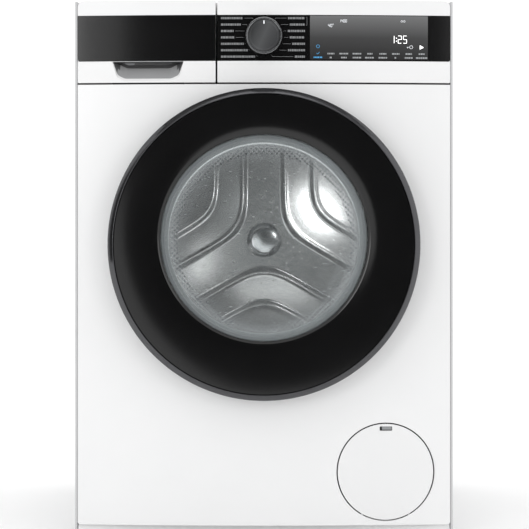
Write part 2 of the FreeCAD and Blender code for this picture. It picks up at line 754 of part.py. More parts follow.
def drum_pulley():
    """A light alloy wheel with a hub, a thin web with six holes and a belt rim."""
    wheel = turned(0, "drum_high", [
        ("shaft_reach", "front + pulley_start - 6"), (28, "front + pulley_start - 6"),
        (28, "front + pulley_start + 6"), ("pulley_reach - 6", "front + pulley_start + 6"),
        ("pulley_reach - 6", "front + pulley_start"), ("pulley_reach", "front + pulley_start"),
        ("pulley_reach", "front + pulley_end"), ("pulley_reach - 6", "front + pulley_end"),
        ("pulley_reach - 6", "front + pulley_start + 10"), (28, "front + pulley_start + 10"),
        (28, "front + pulley_end"), ("shaft_reach", "front + pulley_end")])
    windows = []
    for turn in range(6):
        angle = math.radians(60 * turn)
        windows.append(rod(30, round(82 * math.cos(angle), 3),
                           ("front + pulley_start", "front + pulley_end"),
                           f"drum_high + {round(82 * math.sin(angle), 3)}"))
    return cut(wheel, *windows)


def drive_belt():
    """A flat ribbed belt round both pulleys, a hair clear of them."""
    y = (value("front + pulley_start + 3"), value("front + pulley_end - 3"))
    big = FreeCAD.Vector(0, y[0], value("drum_high"))
    small = FreeCAD.Vector(value("motor_across"), y[0], value("motor_high"))

    def loop(extra):
        """The outline of a belt whose inner face stands this far off both pulleys."""
        far = value("pulley_reach") + extra
        near = value("rotor_reach") + extra
        line = small - big
        heading = math.atan2(line.z, line.x)
        spread = math.acos((far - near) / line.Length)
        ends = []
        for sign in (1, -1):
            normal = FreeCAD.Vector(math.cos(heading + sign * spread), 0, math.sin(heading + sign * spread))
            ends.append((big + normal * far, small + normal * near))
        back = FreeCAD.Vector(math.cos(heading), 0, math.sin(heading))
        edges = [
            Part.LineSegment(ends[0][0], ends[0][1]).toShape(),
            Part.Arc(ends[0][1], small + back * near, ends[1][1]).toShape(),
            Part.LineSegment(ends[1][1], ends[1][0]).toShape(),
            Part.Arc(ends[1][0], big - back * far, ends[0][0]).toShape(),
        ]
        return Part.Face(Part.Wire(edges)).extrude(FreeCAD.Vector(0, y[1] - y[0], 0))

    gap = value("belt_gap")
    return shaped(loop(gap + 3).cut(loop(gap)))


def motor_housing():
    """The motor's case, its end shields, and the two arms that bolt it to the tub."""
    place = {"x": "motor_across", "z": "motor_high"}
    case = rod(56, place["x"], ("front + 316", "front + 440"), place["z"])
    shield = rod(40, place["x"], ("front + 440", "front + 458"), place["z"])
    arms = []
    for side in (-1, 1):
        arms.append(box((f"motor_across + {side * 40 - 8}", f"motor_across + {side * 40 + 8}"),
                        ("front + 330", "front + 420"), (150, 190)))
    bore = rod("6 + running_fit", place["x"], ("front + 380", "front + 459"), place["z"])
    return cut(fuse(case, shield, *arms), bore)


def motor_pulley():
    """The rotor's shaft end with the small belt pulley."""
    shaft = rod(6, "motor_across", ("front + 381", "front + pulley_start"), "motor_high")
    y = ("front + pulley_start", "front + pulley_end + 2")
    wheel = rod("rotor_reach", "motor_across", y, "motor_high")
    return fuse(shaft, wheel)


def heater():
    """A bent tubular element between drum and tub, and its terminal plate outside."""
    z = 223
    legs = [rod(3, x, ("front + 180", "front + tub_end - tub_wall - 0.2"), z) for x in (-22, 22)]
    bend = rod(3, (-25, 25), "front + 180", z)
    plate = box((-34, 34), ("front + tub_end", "front + tub_end + 5"), (213, 233))
    tails = [rod(4, x, ("front + tub_end + 4", "front + tub_end + 22"), z) for x in (-22, 0, 22)]
    return group(fuse(bend, *legs), fuse(plate, *tails))


def suspension_springs():
    """Two tension springs, from the hangers under the worktop to the tub's lugs."""
    springs = [coil(f"{side} * spring_across", "front + spring_deep", 632.6, 789.6, 12, 2.2, 18)
               for side in (-1, 1)]
    return group(*springs)


def damper_cylinders():
    """The two lower halves of the friction dampers."""
    cylinders = []
    for side in (-1, 1):
        x = f"{side} * damper_across"
        y = "front + damper_deep"
        body = rod(16, x, y, (11, 150))
        cylinders.append(cut(body, rod(11.5, x, y, (40, 151))))
    return group(*cylinders)


def damper_rods():
    """The two upper halves of the friction dampers."""
    rods = [rod(10.8, f"{side} * damper_across", "front + damper_deep", (60, 262)) for side in (-1, 1)]
    return group(*rods)


def sump_hose():
    """The short hose from the tub to the pump."""
    return tube(20, 17.2, 170, "front + 95", (146, 256))


def dispenser_hose():
    """The short hose from the drawer housing to the tub."""
    return tube(22, 19.2, -160, "front + 120", (690, 737))


# ---------------------------------------------------------------- pump, water and mains

def pump_housing():
    """The filter's barrel, the volute behind it, the pump's motor and two spigots."""
    x = "pump_across"
    z = "flap_high"
    outer = fuse(
        rod(35, x, ("front + 60", "front + 150"), z),
        rod(40, x, ("front + 150", "front + 172"), z),
        rod(26, x, ("front + 172", "front + 222"), z),
        rod(17, 170, "front + 95", ("flap_high + 20", 160)),
        rod(11, ("pump_across + 20", 250), "front + 161", z),
        box(("pump_across - 24", "pump_across + 24"), ("front + 80", "front + 140"), (11, "flap_high")))
    return cut(
        outer,
        rod(31, x, ("front + 59", "front + 150"), z),
        rod(30, x, ("front + 149", "front + 168"), z),
        rod(14, 170, "front + 95", ("flap_high", 161)),
        rod(8, ("pump_across", 251), "front + 161", z),
        rod("2.5 + running_fit", x, ("front + 160", "front + 190"), z))


def pump_impeller():
    """The four bladed impeller on its shaft."""
    x = "pump_across"
    y = ("front + 156", "front + 166")
    blades = (box(("pump_across - 22", "pump_across + 22"), y, ("flap_high - 1.5", "flap_high + 1.5")),
              box(("pump_across - 1.5", "pump_across + 1.5"), y, ("flap_high - 22", "flap_high + 22")))
    return fuse(rod(7, x, y, "flap_high"), rod(2.5, x, ("front + 156", "front + 188"), "flap_high"), *blades)


def pump_filter():
    """The lint basket behind its round cap with a finger grip."""
    x = "pump_across"
    z = "flap_high"
    cap = rod(34, x, ("front + 50", "front + 59.7"), z)
    grip = box(("pump_across - 27", "pump_across + 27"), ("front + 36", "front + 50"),
               ("flap_high - 4", "flap_high + 4"))
    basket = tube(30, 27, x, ("front + 59", "front + 140"), z)
    slots = []
    for turn in range(4):
        slot = box(("pump_across - 5", "pump_across + 5"), (f"front + {72 + 16 * turn}", f"front + {80 + 16 * turn}"),
                   ("flap_high - 40", "flap_high + 40"))
        slots.append(slot)
    return cut(fuse(cap, grip, basket), *slots)


def service_flap():
    """A round bowed flap with a latch window at its top and pivots at its foot."""
    square = ("pump_across - 80", "pump_across + 80")
    tall = ("flap_high - 80", "flap_high + 80")
    skin = cut(bowed(square, tall, 0, "front + 40"), bowed(square, tall, 2, "front + 41"))
    disc = common(skin, rod("flap_reach", "pump_across", ("front - 6", "front + 40"), "flap_high"))
    window = box((182.5, 202.2), ("front - 6", "front + 12"), (168.5, 175))
    tab = box((184, 200), ("front + 6.5", "front + 9"), (163, 168.5))
    parts = [cut(disc, window), tab]
    for low, high in ((-36.7, -31), (31, 36.7)):
        pin = rod(0.9, (f"pump_across + {low}", f"pump_across + {high}"), FLAP_PIVOT_Y, "flap_pivot_high")
        parts.append(along_flap(pin))
    return fuse(*parts)


def inlet_valve():
    """The solenoid valve behind the rear panel, with its threaded water inlet."""
    z = 780
    neck = rod("inlet_reach - 0.7", "valve_across", ("rear - 30", "rear + 2"), z)
    inlet = rod("inlet_reach", "valve_across", ("rear + 1", "rear + 12"), z)
    body = box(("valve_across - 17", "valve_across + 17"), ("rear - 50", "rear - 14"), (z - 16, z + 18))
    solenoid = rod(13, "valve_across", "rear - 32", (z + 18, z + 38))
    outlet = rod(9, "valve_across", ("rear - 66", "rear - 50"), z)
    bore = rod(8.5, "valve_across", ("rear - 20", "rear + 13"), z)
    return cut(fuse(inlet, neck, body, solenoid, outlet), bore)


def drain_hose():
    """The hose from the pump back to the outlet on the rear panel."""
    return hose([
        (247, "front + 161", "flap_high"), (272, "front + 161", "flap_high"),
        (272, "rear - 60", 120), (235, "rear - 45", 120), (235, "rear - 18", 120)],
        20, 12.5, 11.2)


def drain_outlet():
    """The ribbed spigot on the rear panel that an outside drain hose is pushed on."""
    body = fuse(rod(14.9, 235, ("rear - 2", "rear + 2"), 120), rod(11, 235, ("rear - 30", "rear + 12"), 120))
    return cut(body, rod(8, 235, ("rear - 31", "rear + 13"), 120))


def mains_gland():
    """The round cable gland that the mains lead would leave by."""
    body = fuse(rod(8.9, 235, ("rear - 8", "rear + 1"), 780), rod(13, 235, ("rear", "rear + 6"), 780))
    return cut(body, rod(4, 235, ("rear - 9", "rear + 7"), 780))


# ---------------------------------------------------------------- assembly

node("left_side_panel", side_panel(-1))
node("right_side_panel", side_panel(1))
node("left_front_foot", foot("-foot_across", "-foot_deep"))
node("right_front_foot", foot("foot_across", "-foot_deep"))
node("rear_feet", group(foot("-foot_across", "foot_deep"), foot("foot_across", "foot_deep")))

SUB_PARTS = [
    rear_panel, rear_access_cover, base_pan, front_panel, worktop, cross_rails, cabinet_screws,
    transport_bolt_covers, fascia, control_band, programme_knob, knob_ring, display_board,
    drawer_front, drawer_band, drawer_tray, dosing_insert, drawer_release_lever,
    dispenser_housing, door_ring, door_rim_trim, door_inner_frame, door_glass, hinge_pin,
    door_hinge, latch_hook, door_lock, door_lock_bolt, door_gasket, tub_front, tub_rear,
    front_counterweight, upper_counterweight, drum_shell, drum_paddles, drum_spider,
    drum_bearings, drum_pulley, drive_belt, motor_housing, motor_pulley, heater,
    suspension_springs, damper_cylinders, damper_rods, sump_hose, dispenser_hose, pump_housing,
    pump_impeller, pump_filter, service_flap, inlet_valve, drain_hose, drain_outlet, mains_gland,
]
for sub_part in SUB_PARTS:
    node(sub_part.__name__, sub_part())
doc.recompute()

failed = [item.Name for item in doc.Objects if {"Invalid", "Error"} & set(item.State)]
unsound = [item.Label for item in nodes if item.Shape.isNull() or not item.Shape.isValid()]
if failed or unsound:
    raise SystemExit(f"failed objects: {failed}; unsound sub-parts: {unsound}")

os.makedirs("parts", exist_ok=True)
for item in nodes:
    item.Shape.exportStep(f"parts/{item.Label}.step")
    print(f"{item.Label}: {len(item.Shape.Solids)} solids, {item.Shape.Volume / 1000:.1f} cm3")
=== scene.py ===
"""The looks of a front load washing machine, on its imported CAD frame. Metres, +Z up, front at -Y."""

import json
import math
from contextlib import contextmanager

import bmesh
import bpy
from mathutils import Matrix, Vector


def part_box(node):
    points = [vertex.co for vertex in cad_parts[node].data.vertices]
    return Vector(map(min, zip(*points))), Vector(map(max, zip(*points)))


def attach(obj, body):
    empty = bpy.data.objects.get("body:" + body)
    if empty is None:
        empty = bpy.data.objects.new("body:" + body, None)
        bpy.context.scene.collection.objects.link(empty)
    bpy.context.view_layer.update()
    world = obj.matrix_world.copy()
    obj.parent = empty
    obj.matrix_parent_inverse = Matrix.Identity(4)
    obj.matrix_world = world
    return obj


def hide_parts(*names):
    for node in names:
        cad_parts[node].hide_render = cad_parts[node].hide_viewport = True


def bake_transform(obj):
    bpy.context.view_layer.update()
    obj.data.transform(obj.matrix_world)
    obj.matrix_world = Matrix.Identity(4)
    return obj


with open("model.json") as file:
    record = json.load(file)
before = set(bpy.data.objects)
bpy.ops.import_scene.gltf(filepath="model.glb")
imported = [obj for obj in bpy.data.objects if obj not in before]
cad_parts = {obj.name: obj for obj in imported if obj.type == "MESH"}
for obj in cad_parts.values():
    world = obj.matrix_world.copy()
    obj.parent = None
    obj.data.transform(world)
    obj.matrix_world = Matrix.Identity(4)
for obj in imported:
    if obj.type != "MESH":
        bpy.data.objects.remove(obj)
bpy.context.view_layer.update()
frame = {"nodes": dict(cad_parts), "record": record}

MM = 0.001

# ---------------------------------------------------------------- places, read from the frame

panel_low, panel_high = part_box("front_panel")
trim_low, trim_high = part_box("door_rim_trim")
glass_low, glass_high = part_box("door_glass")
band_low, band_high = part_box("control_band")
drawer_low, drawer_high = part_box("drawer_front")
drum_low, drum_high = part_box("drum_shell")
knob_low, knob_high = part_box("knob_ring")
flap_low, flap_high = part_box("service_flap")

FRONT = panel_low[1]                       # the panel's face at mid width
HALF = panel_high[0]                       # half the width of the panel
BOW = 3.6                                  # radius of the bowed front, seen from above
DOOR_Z = (trim_low[2] + trim_high[2]) / 2
DOOR_R = trim_high[0]
WINDOW_Z = (glass_low[2] + glass_high[2]) / 2
DRUM_Z = (drum_low[2] + drum_high[2]) / 2
DRUM_R = drum_high[0]
DRUM_START = drum_low[1]
DRUM_END = drum_high[1]
KNOB_Z = (knob_low[2] + knob_high[2]) / 2
KNOB_R = knob_high[0]
FLAP_X = (flap_low[0] + flap_high[0]) / 2
FLAP_R = (flap_high[0] - flap_low[0]) / 2
FLAP_Z = (flap_low[2] + flap_high[2]) / 2


def face_y(x, inset=0.0):
    """Y of the bowed front at x, set in from the face by inset."""
    return FRONT + BOW - math.sqrt((BOW - inset) ** 2 - x * x)


# ---------------------------------------------------------------- materials

class Graph:
    """Builds one node material: a Principled shader fed by a few procedural nodes."""

    def __init__(self, name):
        self.material = bpy.data.materials.new(name)
        self.material.use_nodes = True
        self.tree = self.material.node_tree
        self.shader = self.tree.nodes["Principled BSDF"]
        self.output = self.tree.nodes["Material Output"]

    def add(self, kind, **settings):
        """A new node."""
        node = self.tree.nodes.new(kind)
        for key, setting in settings.items():
            setattr(node, key, setting)
        return node

    def link(self, source, target):
        """Joins two sockets."""
        self.tree.links.new(source, target)

    def set(self, **settings):
        """Sets the shader's own sockets."""
        for key, setting in settings.items():
            self.shader.inputs[key.replace("_", " ")].default_value = setting

    def place(self, scale=(1, 1, 1)):
        """Object coordinates, stretched."""
        coordinates = self.add("ShaderNodeTexCoord")
        mapping = self.add("ShaderNodeMapping")
        mapping.inputs["Scale"].default_value = scale
        self.link(coordinates.outputs["Object"], mapping.inputs["Vector"])
        return mapping.outputs["Vector"]

    def noise(self, scale, stretch=(1, 1, 1), detail=3.0):
        """A noise in object coordinates."""
        texture = self.add("ShaderNodeTexNoise")
        texture.inputs["Scale"].default_value = scale
        texture.inputs["Detail"].default_value = detail
        self.link(self.place(stretch), texture.inputs["Vector"])
        return texture.outputs["Fac"]

    def ramp(self, factor, stops):
        """A colour ramp through (position, grey or colour) stops."""
        ramp = self.add("ShaderNodeValToRGB")
        points = ramp.color_ramp.elements
        while len(points) < len(stops):
            points.new(0.5)
        for point, (position, colour) in zip(points, stops):
            point.position = position
            point.color = (*colour, 1) if isinstance(colour, tuple) else (colour, colour, colour, 1)
        self.link(factor, ramp.inputs["Fac"])
        return ramp.outputs["Color"]

    def bump(self, height, strength, distance=0.0005):
        """Bends the surface's normal by a height."""
        bump = self.add("ShaderNodeBump")
        bump.inputs["Strength"].default_value = strength
        bump.inputs["Distance"].default_value = distance
        self.link(height, bump.inputs["Height"])
        self.link(bump.outputs["Normal"], self.shader.inputs["Normal"])

    def share(self, vector, axis, low, high):
        """How far the vector has come along an axis from low to high, from 0 to 1."""
        parts = self.add("ShaderNodeSeparateXYZ")
        self.link(vector, parts.inputs["Vector"])
        spread = self.add("ShaderNodeMapRange")
        spread.inputs["From Min"].default_value = low
        spread.inputs["From Max"].default_value = high
        self.link(parts.outputs[axis], spread.inputs["Value"])
        return spread.outputs["Result"]


def surfaced(name, colour, rough, grain, spread=0.06, bump=0.05, stretch=(1, 1, 1), tint=0.03, **settings):
    """A material with slight mottling, uneven roughness and a fine grain."""
    graph = Graph(name)
    dark = tuple(part * (1 - tint) for part in colour)
    light = tuple(min(1.0, part * (1 + tint)) for part in colour)
    mottle = graph.noise(14)
    graph.link(graph.ramp(mottle, [(0.3, dark), (0.7, light)]), graph.shader.inputs["Base Color"])
    fine = graph.noise(grain, stretch, 2.0)
    graph.link(graph.ramp(fine, [(0.25, max(0.0, rough - spread)), (0.75, min(1.0, rough + spread))]),
               graph.shader.inputs["Roughness"])
    graph.bump(fine, bump)
    graph.set(**settings)
    return graph.material


def material_set():
    """Every material by name."""
    made = {}

    def add(name, *values, **settings):
        made[name] = surfaced(name, *values, **settings)

    add("white_enamel", (0.80, 0.802, 0.805), 0.32, 700, 0.04, 0.03, tint=0.006,
        Coat_Weight=0.25, Coat_Roughness=0.12)
    add("white_plastic", (0.785, 0.787, 0.79), 0.4, 1600, 0.05, 0.05, tint=0.006)
    add("grey_plastic", (0.30, 0.31, 0.32), 0.5, 1300, 0.07, 0.12)
    add("black_plastic", (0.02, 0.02, 0.021), 0.45, 1300, 0.07, 0.12)
    add("black_gloss", (0.004, 0.004, 0.0042), 0.13, 500, 0.03, 0.01, tint=0.1)
    add("dark_chrome", (0.085, 0.085, 0.09), 0.12, 900, 0.04, 0.02, tint=0.05,
        Metallic=0.9)
    add("silver", (0.75, 0.76, 0.77), 0.2, 1800, 0.05, 0.03, Metallic=1.0)
    add("bezel", (0.22, 0.225, 0.23), 0.2, 1800, 0.05, 0.03, Metallic=1.0)
    add("stainless", (0.60, 0.60, 0.60), 0.26, 500, 0.07, 0.05, (1, 0.05, 1),
        Metallic=1.0)
    add("zinc_steel", (0.50, 0.515, 0.525), 0.40, 90, 0.10, 0.08, tint=0.05,
        Metallic=1.0)
    add("steel", (0.30, 0.30, 0.31), 0.34, 300, 0.1, 0.1, tint=0.1, Metallic=1.0)
    add("cast_alloy", (0.55, 0.55, 0.55), 0.46, 260, 0.1, 0.35, tint=0.08,
        Metallic=1.0)
    add("concrete", (0.40, 0.39, 0.37), 0.9, 180, 0.05, 0.9, tint=0.25)
    add("rubber_grey", (0.34, 0.35, 0.355), 0.55, 800, 0.08, 0.1)
    add("rubber_black", (0.018, 0.018, 0.018), 0.6, 700, 0.08, 0.2)
    add("tub_plastic", (0.55, 0.55, 0.53), 0.5, 500, 0.07, 0.15, tint=0.05)
    add("laminate", (0.75, 0.75, 0.745), 0.42, 900, 0.05, 0.18, tint=0.01)
    # a darker copy of the white enamel for the side panels: painted shade on the sides
    add("side_enamel_painted_shade", (0.52, 0.523, 0.53), 0.36, 700, 0.04, 0.03, tint=0.006)
    # painted shade in the drawer's finger scoop: a near black for the top strip under the band, a grey for the
    # slopes
    add("scoop_painted_shadow", (0.10, 0.101, 0.103), 0.5, 1600, 0.05, 0.05, tint=0.02)
    add("scoop_painted_shade", (0.30, 0.303, 0.308), 0.5, 1600, 0.05, 0.05, tint=0.02)
    add("faint_ink", (0.20, 0.205, 0.21), 0.5, 900, 0.03, 0.02, tint=0.02)
    made["dial_grey"] = dial_material()
    made["glass"] = glass_material()
    made["display"] = display_material()
    made["lit"] = lit_material("lit", (1.0, 1.0, 1.0), 1.1)
    made["lit_dim"] = lit_material("lit_dim", (0.80, 0.82, 0.85), 0.40)
    made["label"] = lit_material("label", (0.30, 0.31, 0.32), 0.12)
    made["lit_blue"] = lit_material("lit_blue", (0.05, 0.26, 0.50), 0.45)
    made["drum_steel"] = drum_material()
    return made


def dial_material():
    """A spun dark metal face with a painted sheen: lighter along one diagonal."""
    graph = Graph("dial_grey")
    coordinates = graph.add("ShaderNodeTexCoord")
    mapping = graph.add("ShaderNodeMapping")
    mapping.inputs["Location"].default_value = (0, 0, -KNOB_Z)
    graph.link(coordinates.outputs["Object"], mapping.inputs["Vector"])
    turned = graph.add("ShaderNodeMapping")
    turned.inputs["Rotation"].default_value = (0, math.radians(-25), 0)
    graph.link(mapping.outputs["Vector"], turned.inputs["Vector"])
    # painted sheen: the face's colour ramps lighter along one diagonal, in place of a reflection
    painted_light_ramp = graph.ramp(graph.share(turned.outputs["Vector"], "X", -KNOB_R, KNOB_R), [
        (0.0, (0.014, 0.015, 0.016)), (0.5, (0.085, 0.088, 0.091)), (0.66, (0.06, 0.062, 0.065)),
        (1.0, (0.022, 0.023, 0.025))])
    graph.link(painted_light_ramp, graph.shader.inputs["Base Color"])
    fine = graph.noise(1500, (1, 1, 0.04), 2.0)
    graph.link(graph.ramp(fine, [(0.3, 0.34), (0.7, 0.46)]), graph.shader.inputs["Roughness"])
    graph.bump(fine, 0.06)
    graph.set(Metallic=0.35)
    return graph.material


def glass_material():
    """Clear glass that shows what is behind it, mirrors more at grazing angles and lets lamps through."""
    graph = Graph("glass")
    graph.set(Base_Color=(0.80, 0.84, 0.86, 1), Roughness=0.05, IOR=1.5)
    clear = graph.add("ShaderNodeBsdfTransparent")
    clear.inputs["Color"].default_value = (0.96, 0.975, 0.975, 1)
    weight = graph.add("ShaderNodeLayerWeight")
    weight.inputs["Blend"].default_value = 0.35
    share = graph.ramp(weight.outputs["Facing"], [(0.0, 0.03), (0.45, 0.13), (0.75, 0.52), (1.0, 0.85)])
    mix = graph.add("ShaderNodeMixShader")
    graph.link(share, mix.inputs["Fac"])
    graph.link(clear.outputs["BSDF"], mix.inputs[1])
    graph.link(graph.shader.outputs["BSDF"], mix.inputs[2])
    graph.link(mix.outputs["Shader"], graph.output.inputs["Surface"])
    return graph.material


def display_material():
    """Smoked glass over the display, with a painted reflection: lighter towards its top."""
    graph = Graph("display")
    coordinates = graph.add("ShaderNodeTexCoord")
    # painted reflection: the colour ramps from dark at the bottom to lighter grey at the top
    painted_light_ramp = graph.ramp(graph.share(coordinates.outputs["Object"], "Z", band_low[2], band_high[2]), [
        (0.0, (0.022, 0.022, 0.0225)), (0.5, (0.055, 0.055, 0.056)), (1.0, (0.16, 0.161, 0.163))])
    graph.link(painted_light_ramp, graph.shader.inputs["Base Color"])
    fine = graph.noise(600)
    graph.link(graph.ramp(fine, [(0.3, 0.2), (0.7, 0.24)]), graph.shader.inputs["Roughness"])
    return graph.material


def lit_material(name, colour, strength):
    """A lit segment, with a faint grain in its own colour."""
    graph = Graph(name)
    graph.set(Base_Color=(*colour, 1), Roughness=0.5, Emission_Strength=strength)
    dark = tuple(part * 0.9 for part in colour)
    grain = graph.ramp(graph.noise(900), [(0.3, dark), (0.7, colour)])
    graph.link(grain, graph.shader.inputs["Emission Color"])
    return graph.material


def drum_material():
    """Brushed stainless sheet with rows of round holes, painted dark as painted shade inside the holes and sunk
    by a bump.
    """
    graph = Graph("drum_steel")
    pitch = 0.0066                         # from one hole to the next
    coordinates = graph.add("ShaderNodeTexCoord")
    rows = graph.add("ShaderNodeVectorMath", operation="SCALE")
    rows.inputs["Scale"].default_value = 1 / pitch
    askew = graph.add("ShaderNodeMapping")
    askew.inputs["Rotation"].default_value = (0, 0, math.radians(45))
    graph.link(coordinates.outputs["UV"], askew.inputs["Vector"])
    graph.link(askew.outputs["Vector"], rows.inputs[0])
    cell = graph.add("ShaderNodeVectorMath", operation="FRACTION")
    graph.link(rows.outputs["Vector"], cell.inputs[0])
    centred = graph.add("ShaderNodeVectorMath", operation="SUBTRACT")
    centred.inputs[1].default_value = (0.5, 0.5, 0.0)
    graph.link(cell.outputs["Vector"], centred.inputs[0])
    reach = graph.add("ShaderNodeVectorMath", operation="LENGTH")
    graph.link(centred.outputs["Vector"], reach.inputs[0])
    hole = graph.ramp(reach.outputs["Value"], [(0.27, 0.0), (0.34, 1.0)])
    mask = graph.add("ShaderNodeAttribute", attribute_name="pierced")
    holed = graph.add("ShaderNodeMath", operation="MAXIMUM")
    unpierced = graph.add("ShaderNodeMath", operation="SUBTRACT")
    unpierced.inputs[0].default_value = 1.0
    graph.link(mask.outputs["Fac"], unpierced.inputs[1])
    graph.link(hole, holed.inputs[0])
    graph.link(unpierced.outputs["Value"], holed.inputs[1])
    colour = graph.add("ShaderNodeMix", data_type="RGBA")
    # painted shade: a near black stands in for the dark inside of each hole
    colour.inputs["A"].default_value = (0.035, 0.035, 0.037, 1)
    mottle = graph.ramp(graph.noise(22), [(0.3, (0.74, 0.74, 0.74)), (0.7, (0.80, 0.80, 0.795))])
    graph.link(holed.outputs["Value"], colour.inputs["Factor"])
    graph.link(mottle, colour.inputs["B"])
    graph.link(colour.outputs["Result"], graph.shader.inputs["Base Color"])
    brushed = graph.noise(300, (0.3, 1, 1), 2.0)
    graph.link(graph.ramp(brushed, [(0.25, 0.21), (0.75, 0.28)]), graph.shader.inputs["Roughness"])
    sunk = graph.add("ShaderNodeMath", operation="ADD")
    fine = graph.add("ShaderNodeMath", operation="MULTIPLY")
    fine.inputs[1].default_value = 0.012
    graph.link(brushed, fine.inputs[0])
    graph.link(holed.outputs["Value"], sunk.inputs[0])
    graph.link(fine.outputs["Value"], sunk.inputs[1])
    graph.bump(sunk.outputs["Value"], 0.3, 0.0008)
    graph.set(Metallic=0.9)
    return graph.material


MATERIAL = material_set()

# ---------------------------------------------------------------- mesh helpers


def linked(name, data):
    """A new object, put in the scene."""
    item = bpy.data.objects.new(name, data)
    bpy.context.collection.objects.link(item)
    return item


@contextmanager
def edited(mesh):
    """Opens a mesh for bmesh's tools and writes it back."""
    built = bmesh.new()
    built.from_mesh(mesh)
    yield built
    built.to_mesh(mesh)
    built.free()


def add_piece(name, mesh, material, body, replaced=(), sharp=35):
    """Links a mesh as a piece: its material, its body, and the CAD nodes it stands for."""
    piece = linked(name, mesh)
    mesh.materials.append(MATERIAL[material])
    mesh.shade_smooth()
    mesh.set_sharp_from_angle(angle=math.radians(sharp))
    if replaced:
        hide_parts(*replaced)
    if body:
        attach(piece, body)
    return piece


def mesh_from(name, vertices, faces):
    """A mesh from its points and faces."""
    mesh = bpy.data.meshes.new(name)
    mesh.from_pydata(vertices, [], faces)
    mesh.update()
    return mesh


def rounded(corners, steps=6):
    """A closed outline in which each (a, b, radius) corner is a tangent arc."""
    outline = []
    count = len(corners)
    for index, (a, b, radius) in enumerate(corners):
        corner = Vector((a, b))
        before = Vector(corners[index - 1][:2]) - corner
        after = Vector(corners[(index + 1) % count][:2]) - corner
        if radius <= 0:
            outline.append((a, b))
            continue
        half = before.angle(after) / 2
        reach = min(radius / math.tan(half), before.length * 0.49, after.length * 0.49)
        size = reach * math.tan(half)
        middle = corner + (before.normalized() + after.normalized()).normalized() * (size / math.sin(half))
        start = corner + before.normalized() * reach - middle
        end = corner + after.normalized() * reach - middle
        turn = start.angle_signed(end)
        for step in range(steps + 1):
            spun = start.copy()
            spun.rotate(Matrix.Rotation(-turn * step / steps, 2))
            outline.append(tuple(middle + spun))
    return outline


def strips(rows, count):
    """Faces between each closed row of points and the next."""
    faces = []
    for row in range(rows - 1):
        for index in range(count):
            following = (index + 1) % count
            faces.append((row * count + index, row * count + following,
                          (row + 1) * count + following, (row + 1) * count + index))
    return faces


def turned(name, place, outline, segments):
    """A closed outline turned full circle: place(point, cosine, sine) gives where each point goes."""
    vertices = []
    for turn in range(segments):
        angle = 2 * math.pi * turn / segments
        vertices += [place(point, math.cos(angle), math.sin(angle)) for point in outline]
    total = len(vertices)
    faces = [tuple(index % total for index in face) for face in strips(segments + 1, len(outline))]
    mesh = mesh_from(name, vertices, faces)
    tidy(mesh)
    return mesh


def lathe(name, outline, centre_z, centre_x=0.0, segments=160):
    """A closed (radius, y) outline turned about the Y axis through the centre."""
    def place(point, across, up):
        return centre_x + point[0] * across, point[1], centre_z + point[0] * up

    return turned(name, place, outline, segments)


def lofted(name, rings):
    """A closed tube through equal rings of points, with its two ends filled."""
    vertices = [point for ring in rings for point in ring]
    count = len(rings[0])
    faces = strips(len(rings), count)
    faces.append(tuple(range(count)))
    faces.append(tuple(range(len(vertices) - count, len(vertices))))
    mesh = mesh_from(name, vertices, faces)
    tidy(mesh)
    return mesh


def tidy(mesh):
    """Welds doubled points and turns all faces outward."""
    with edited(mesh) as built:
        bmesh.ops.remove_doubles(built, verts=built.verts, dist=0.000005)
        bmesh.ops.dissolve_degenerate(built, edges=built.edges, dist=0.000002)
        bmesh.ops.recalc_face_normals(built, faces=built.faces)


def prism(name, outline, low, high, along=1):
    """A closed flat outline carried from low to high along an axis."""
    vertices = []
    count = len(outline)
    for level in (low, high):
        for a, b in outline:
            place = [a, b]
            place.insert(along, level)
            vertices.append(tuple(place))
    faces = [tuple(range(count)), tuple(range(count, 2 * count))]
    for index in range(count):
        following = (index + 1) % count
        faces.append((index, following, count + following, count + index))
    mesh = mesh_from(name, vertices, faces)
    tidy(mesh)
    return mesh


def plate(name, outline, thick, inset=0.0, spacing=0.006):
    """A thin plate that follows the bowed front, from a flat (x, z) outline."""
    mesh = prism(name, outline, 0.0, thick)
    across = min(x for x, _ in outline) + spacing
    high = max(x for x, _ in outline)
    with edited(mesh) as built:
        while across < high:
            geometry = built.verts[:] + built.edges[:] + built.faces[:]
            bmesh.ops.bisect_plane(built, geom=geometry, plane_co=(across, 0, 0), plane_no=(1, 0, 0))
            across += spacing
        for vertex in built.verts:
            vertex.co.y += face_y(vertex.co.x, inset)
        bmesh.ops.recalc_face_normals(built, faces=built.faces)
    return mesh


def circle(x, z, radius, steps):
    """A circle as a closed outline."""
    turns = [2 * math.pi * step / steps for step in range(steps)]
    return [(x + radius * math.cos(turn), z + radius * math.sin(turn)) for turn in turns]


def bar(x, z, wide, high, radius=0.0):
    """A rectangle about a middle point, with rounded corners."""
    corners = [(x - wide / 2, z - high / 2, radius), (x + wide / 2, z - high / 2, radius),
               (x + wide / 2, z + high / 2, radius), (x - wide / 2, z + high / 2, radius)]
    return rounded(corners, 4) if radius else [corner[:2] for corner in corners]


def cut_out(mesh, *tools):
    """The mesh with closed tool meshes taken out of it."""
    piece = linked("Base", mesh)
    cutters = [linked("Cutter", tool) for tool in tools]
    for cutter in cutters:
        modifier = piece.modifiers.new("Cut", "BOOLEAN")
        modifier.operation = "DIFFERENCE"
        modifier.solver = "EXACT"
        modifier.object = cutter
    depsgraph = bpy.context.evaluated_depsgraph_get()
    done = bpy.data.meshes.new_from_object(piece.evaluated_get(depsgraph))
    for item in (piece, *cutters):
        bpy.data.objects.remove(item)
    return done


def punch(outline, back=0.06):
    """A tool that cuts an outline through the bowed front."""
    return prism("Punch", outline, FRONT - 0.02, FRONT + back)


# ---------------------------------------------------------------- the pressed front panel

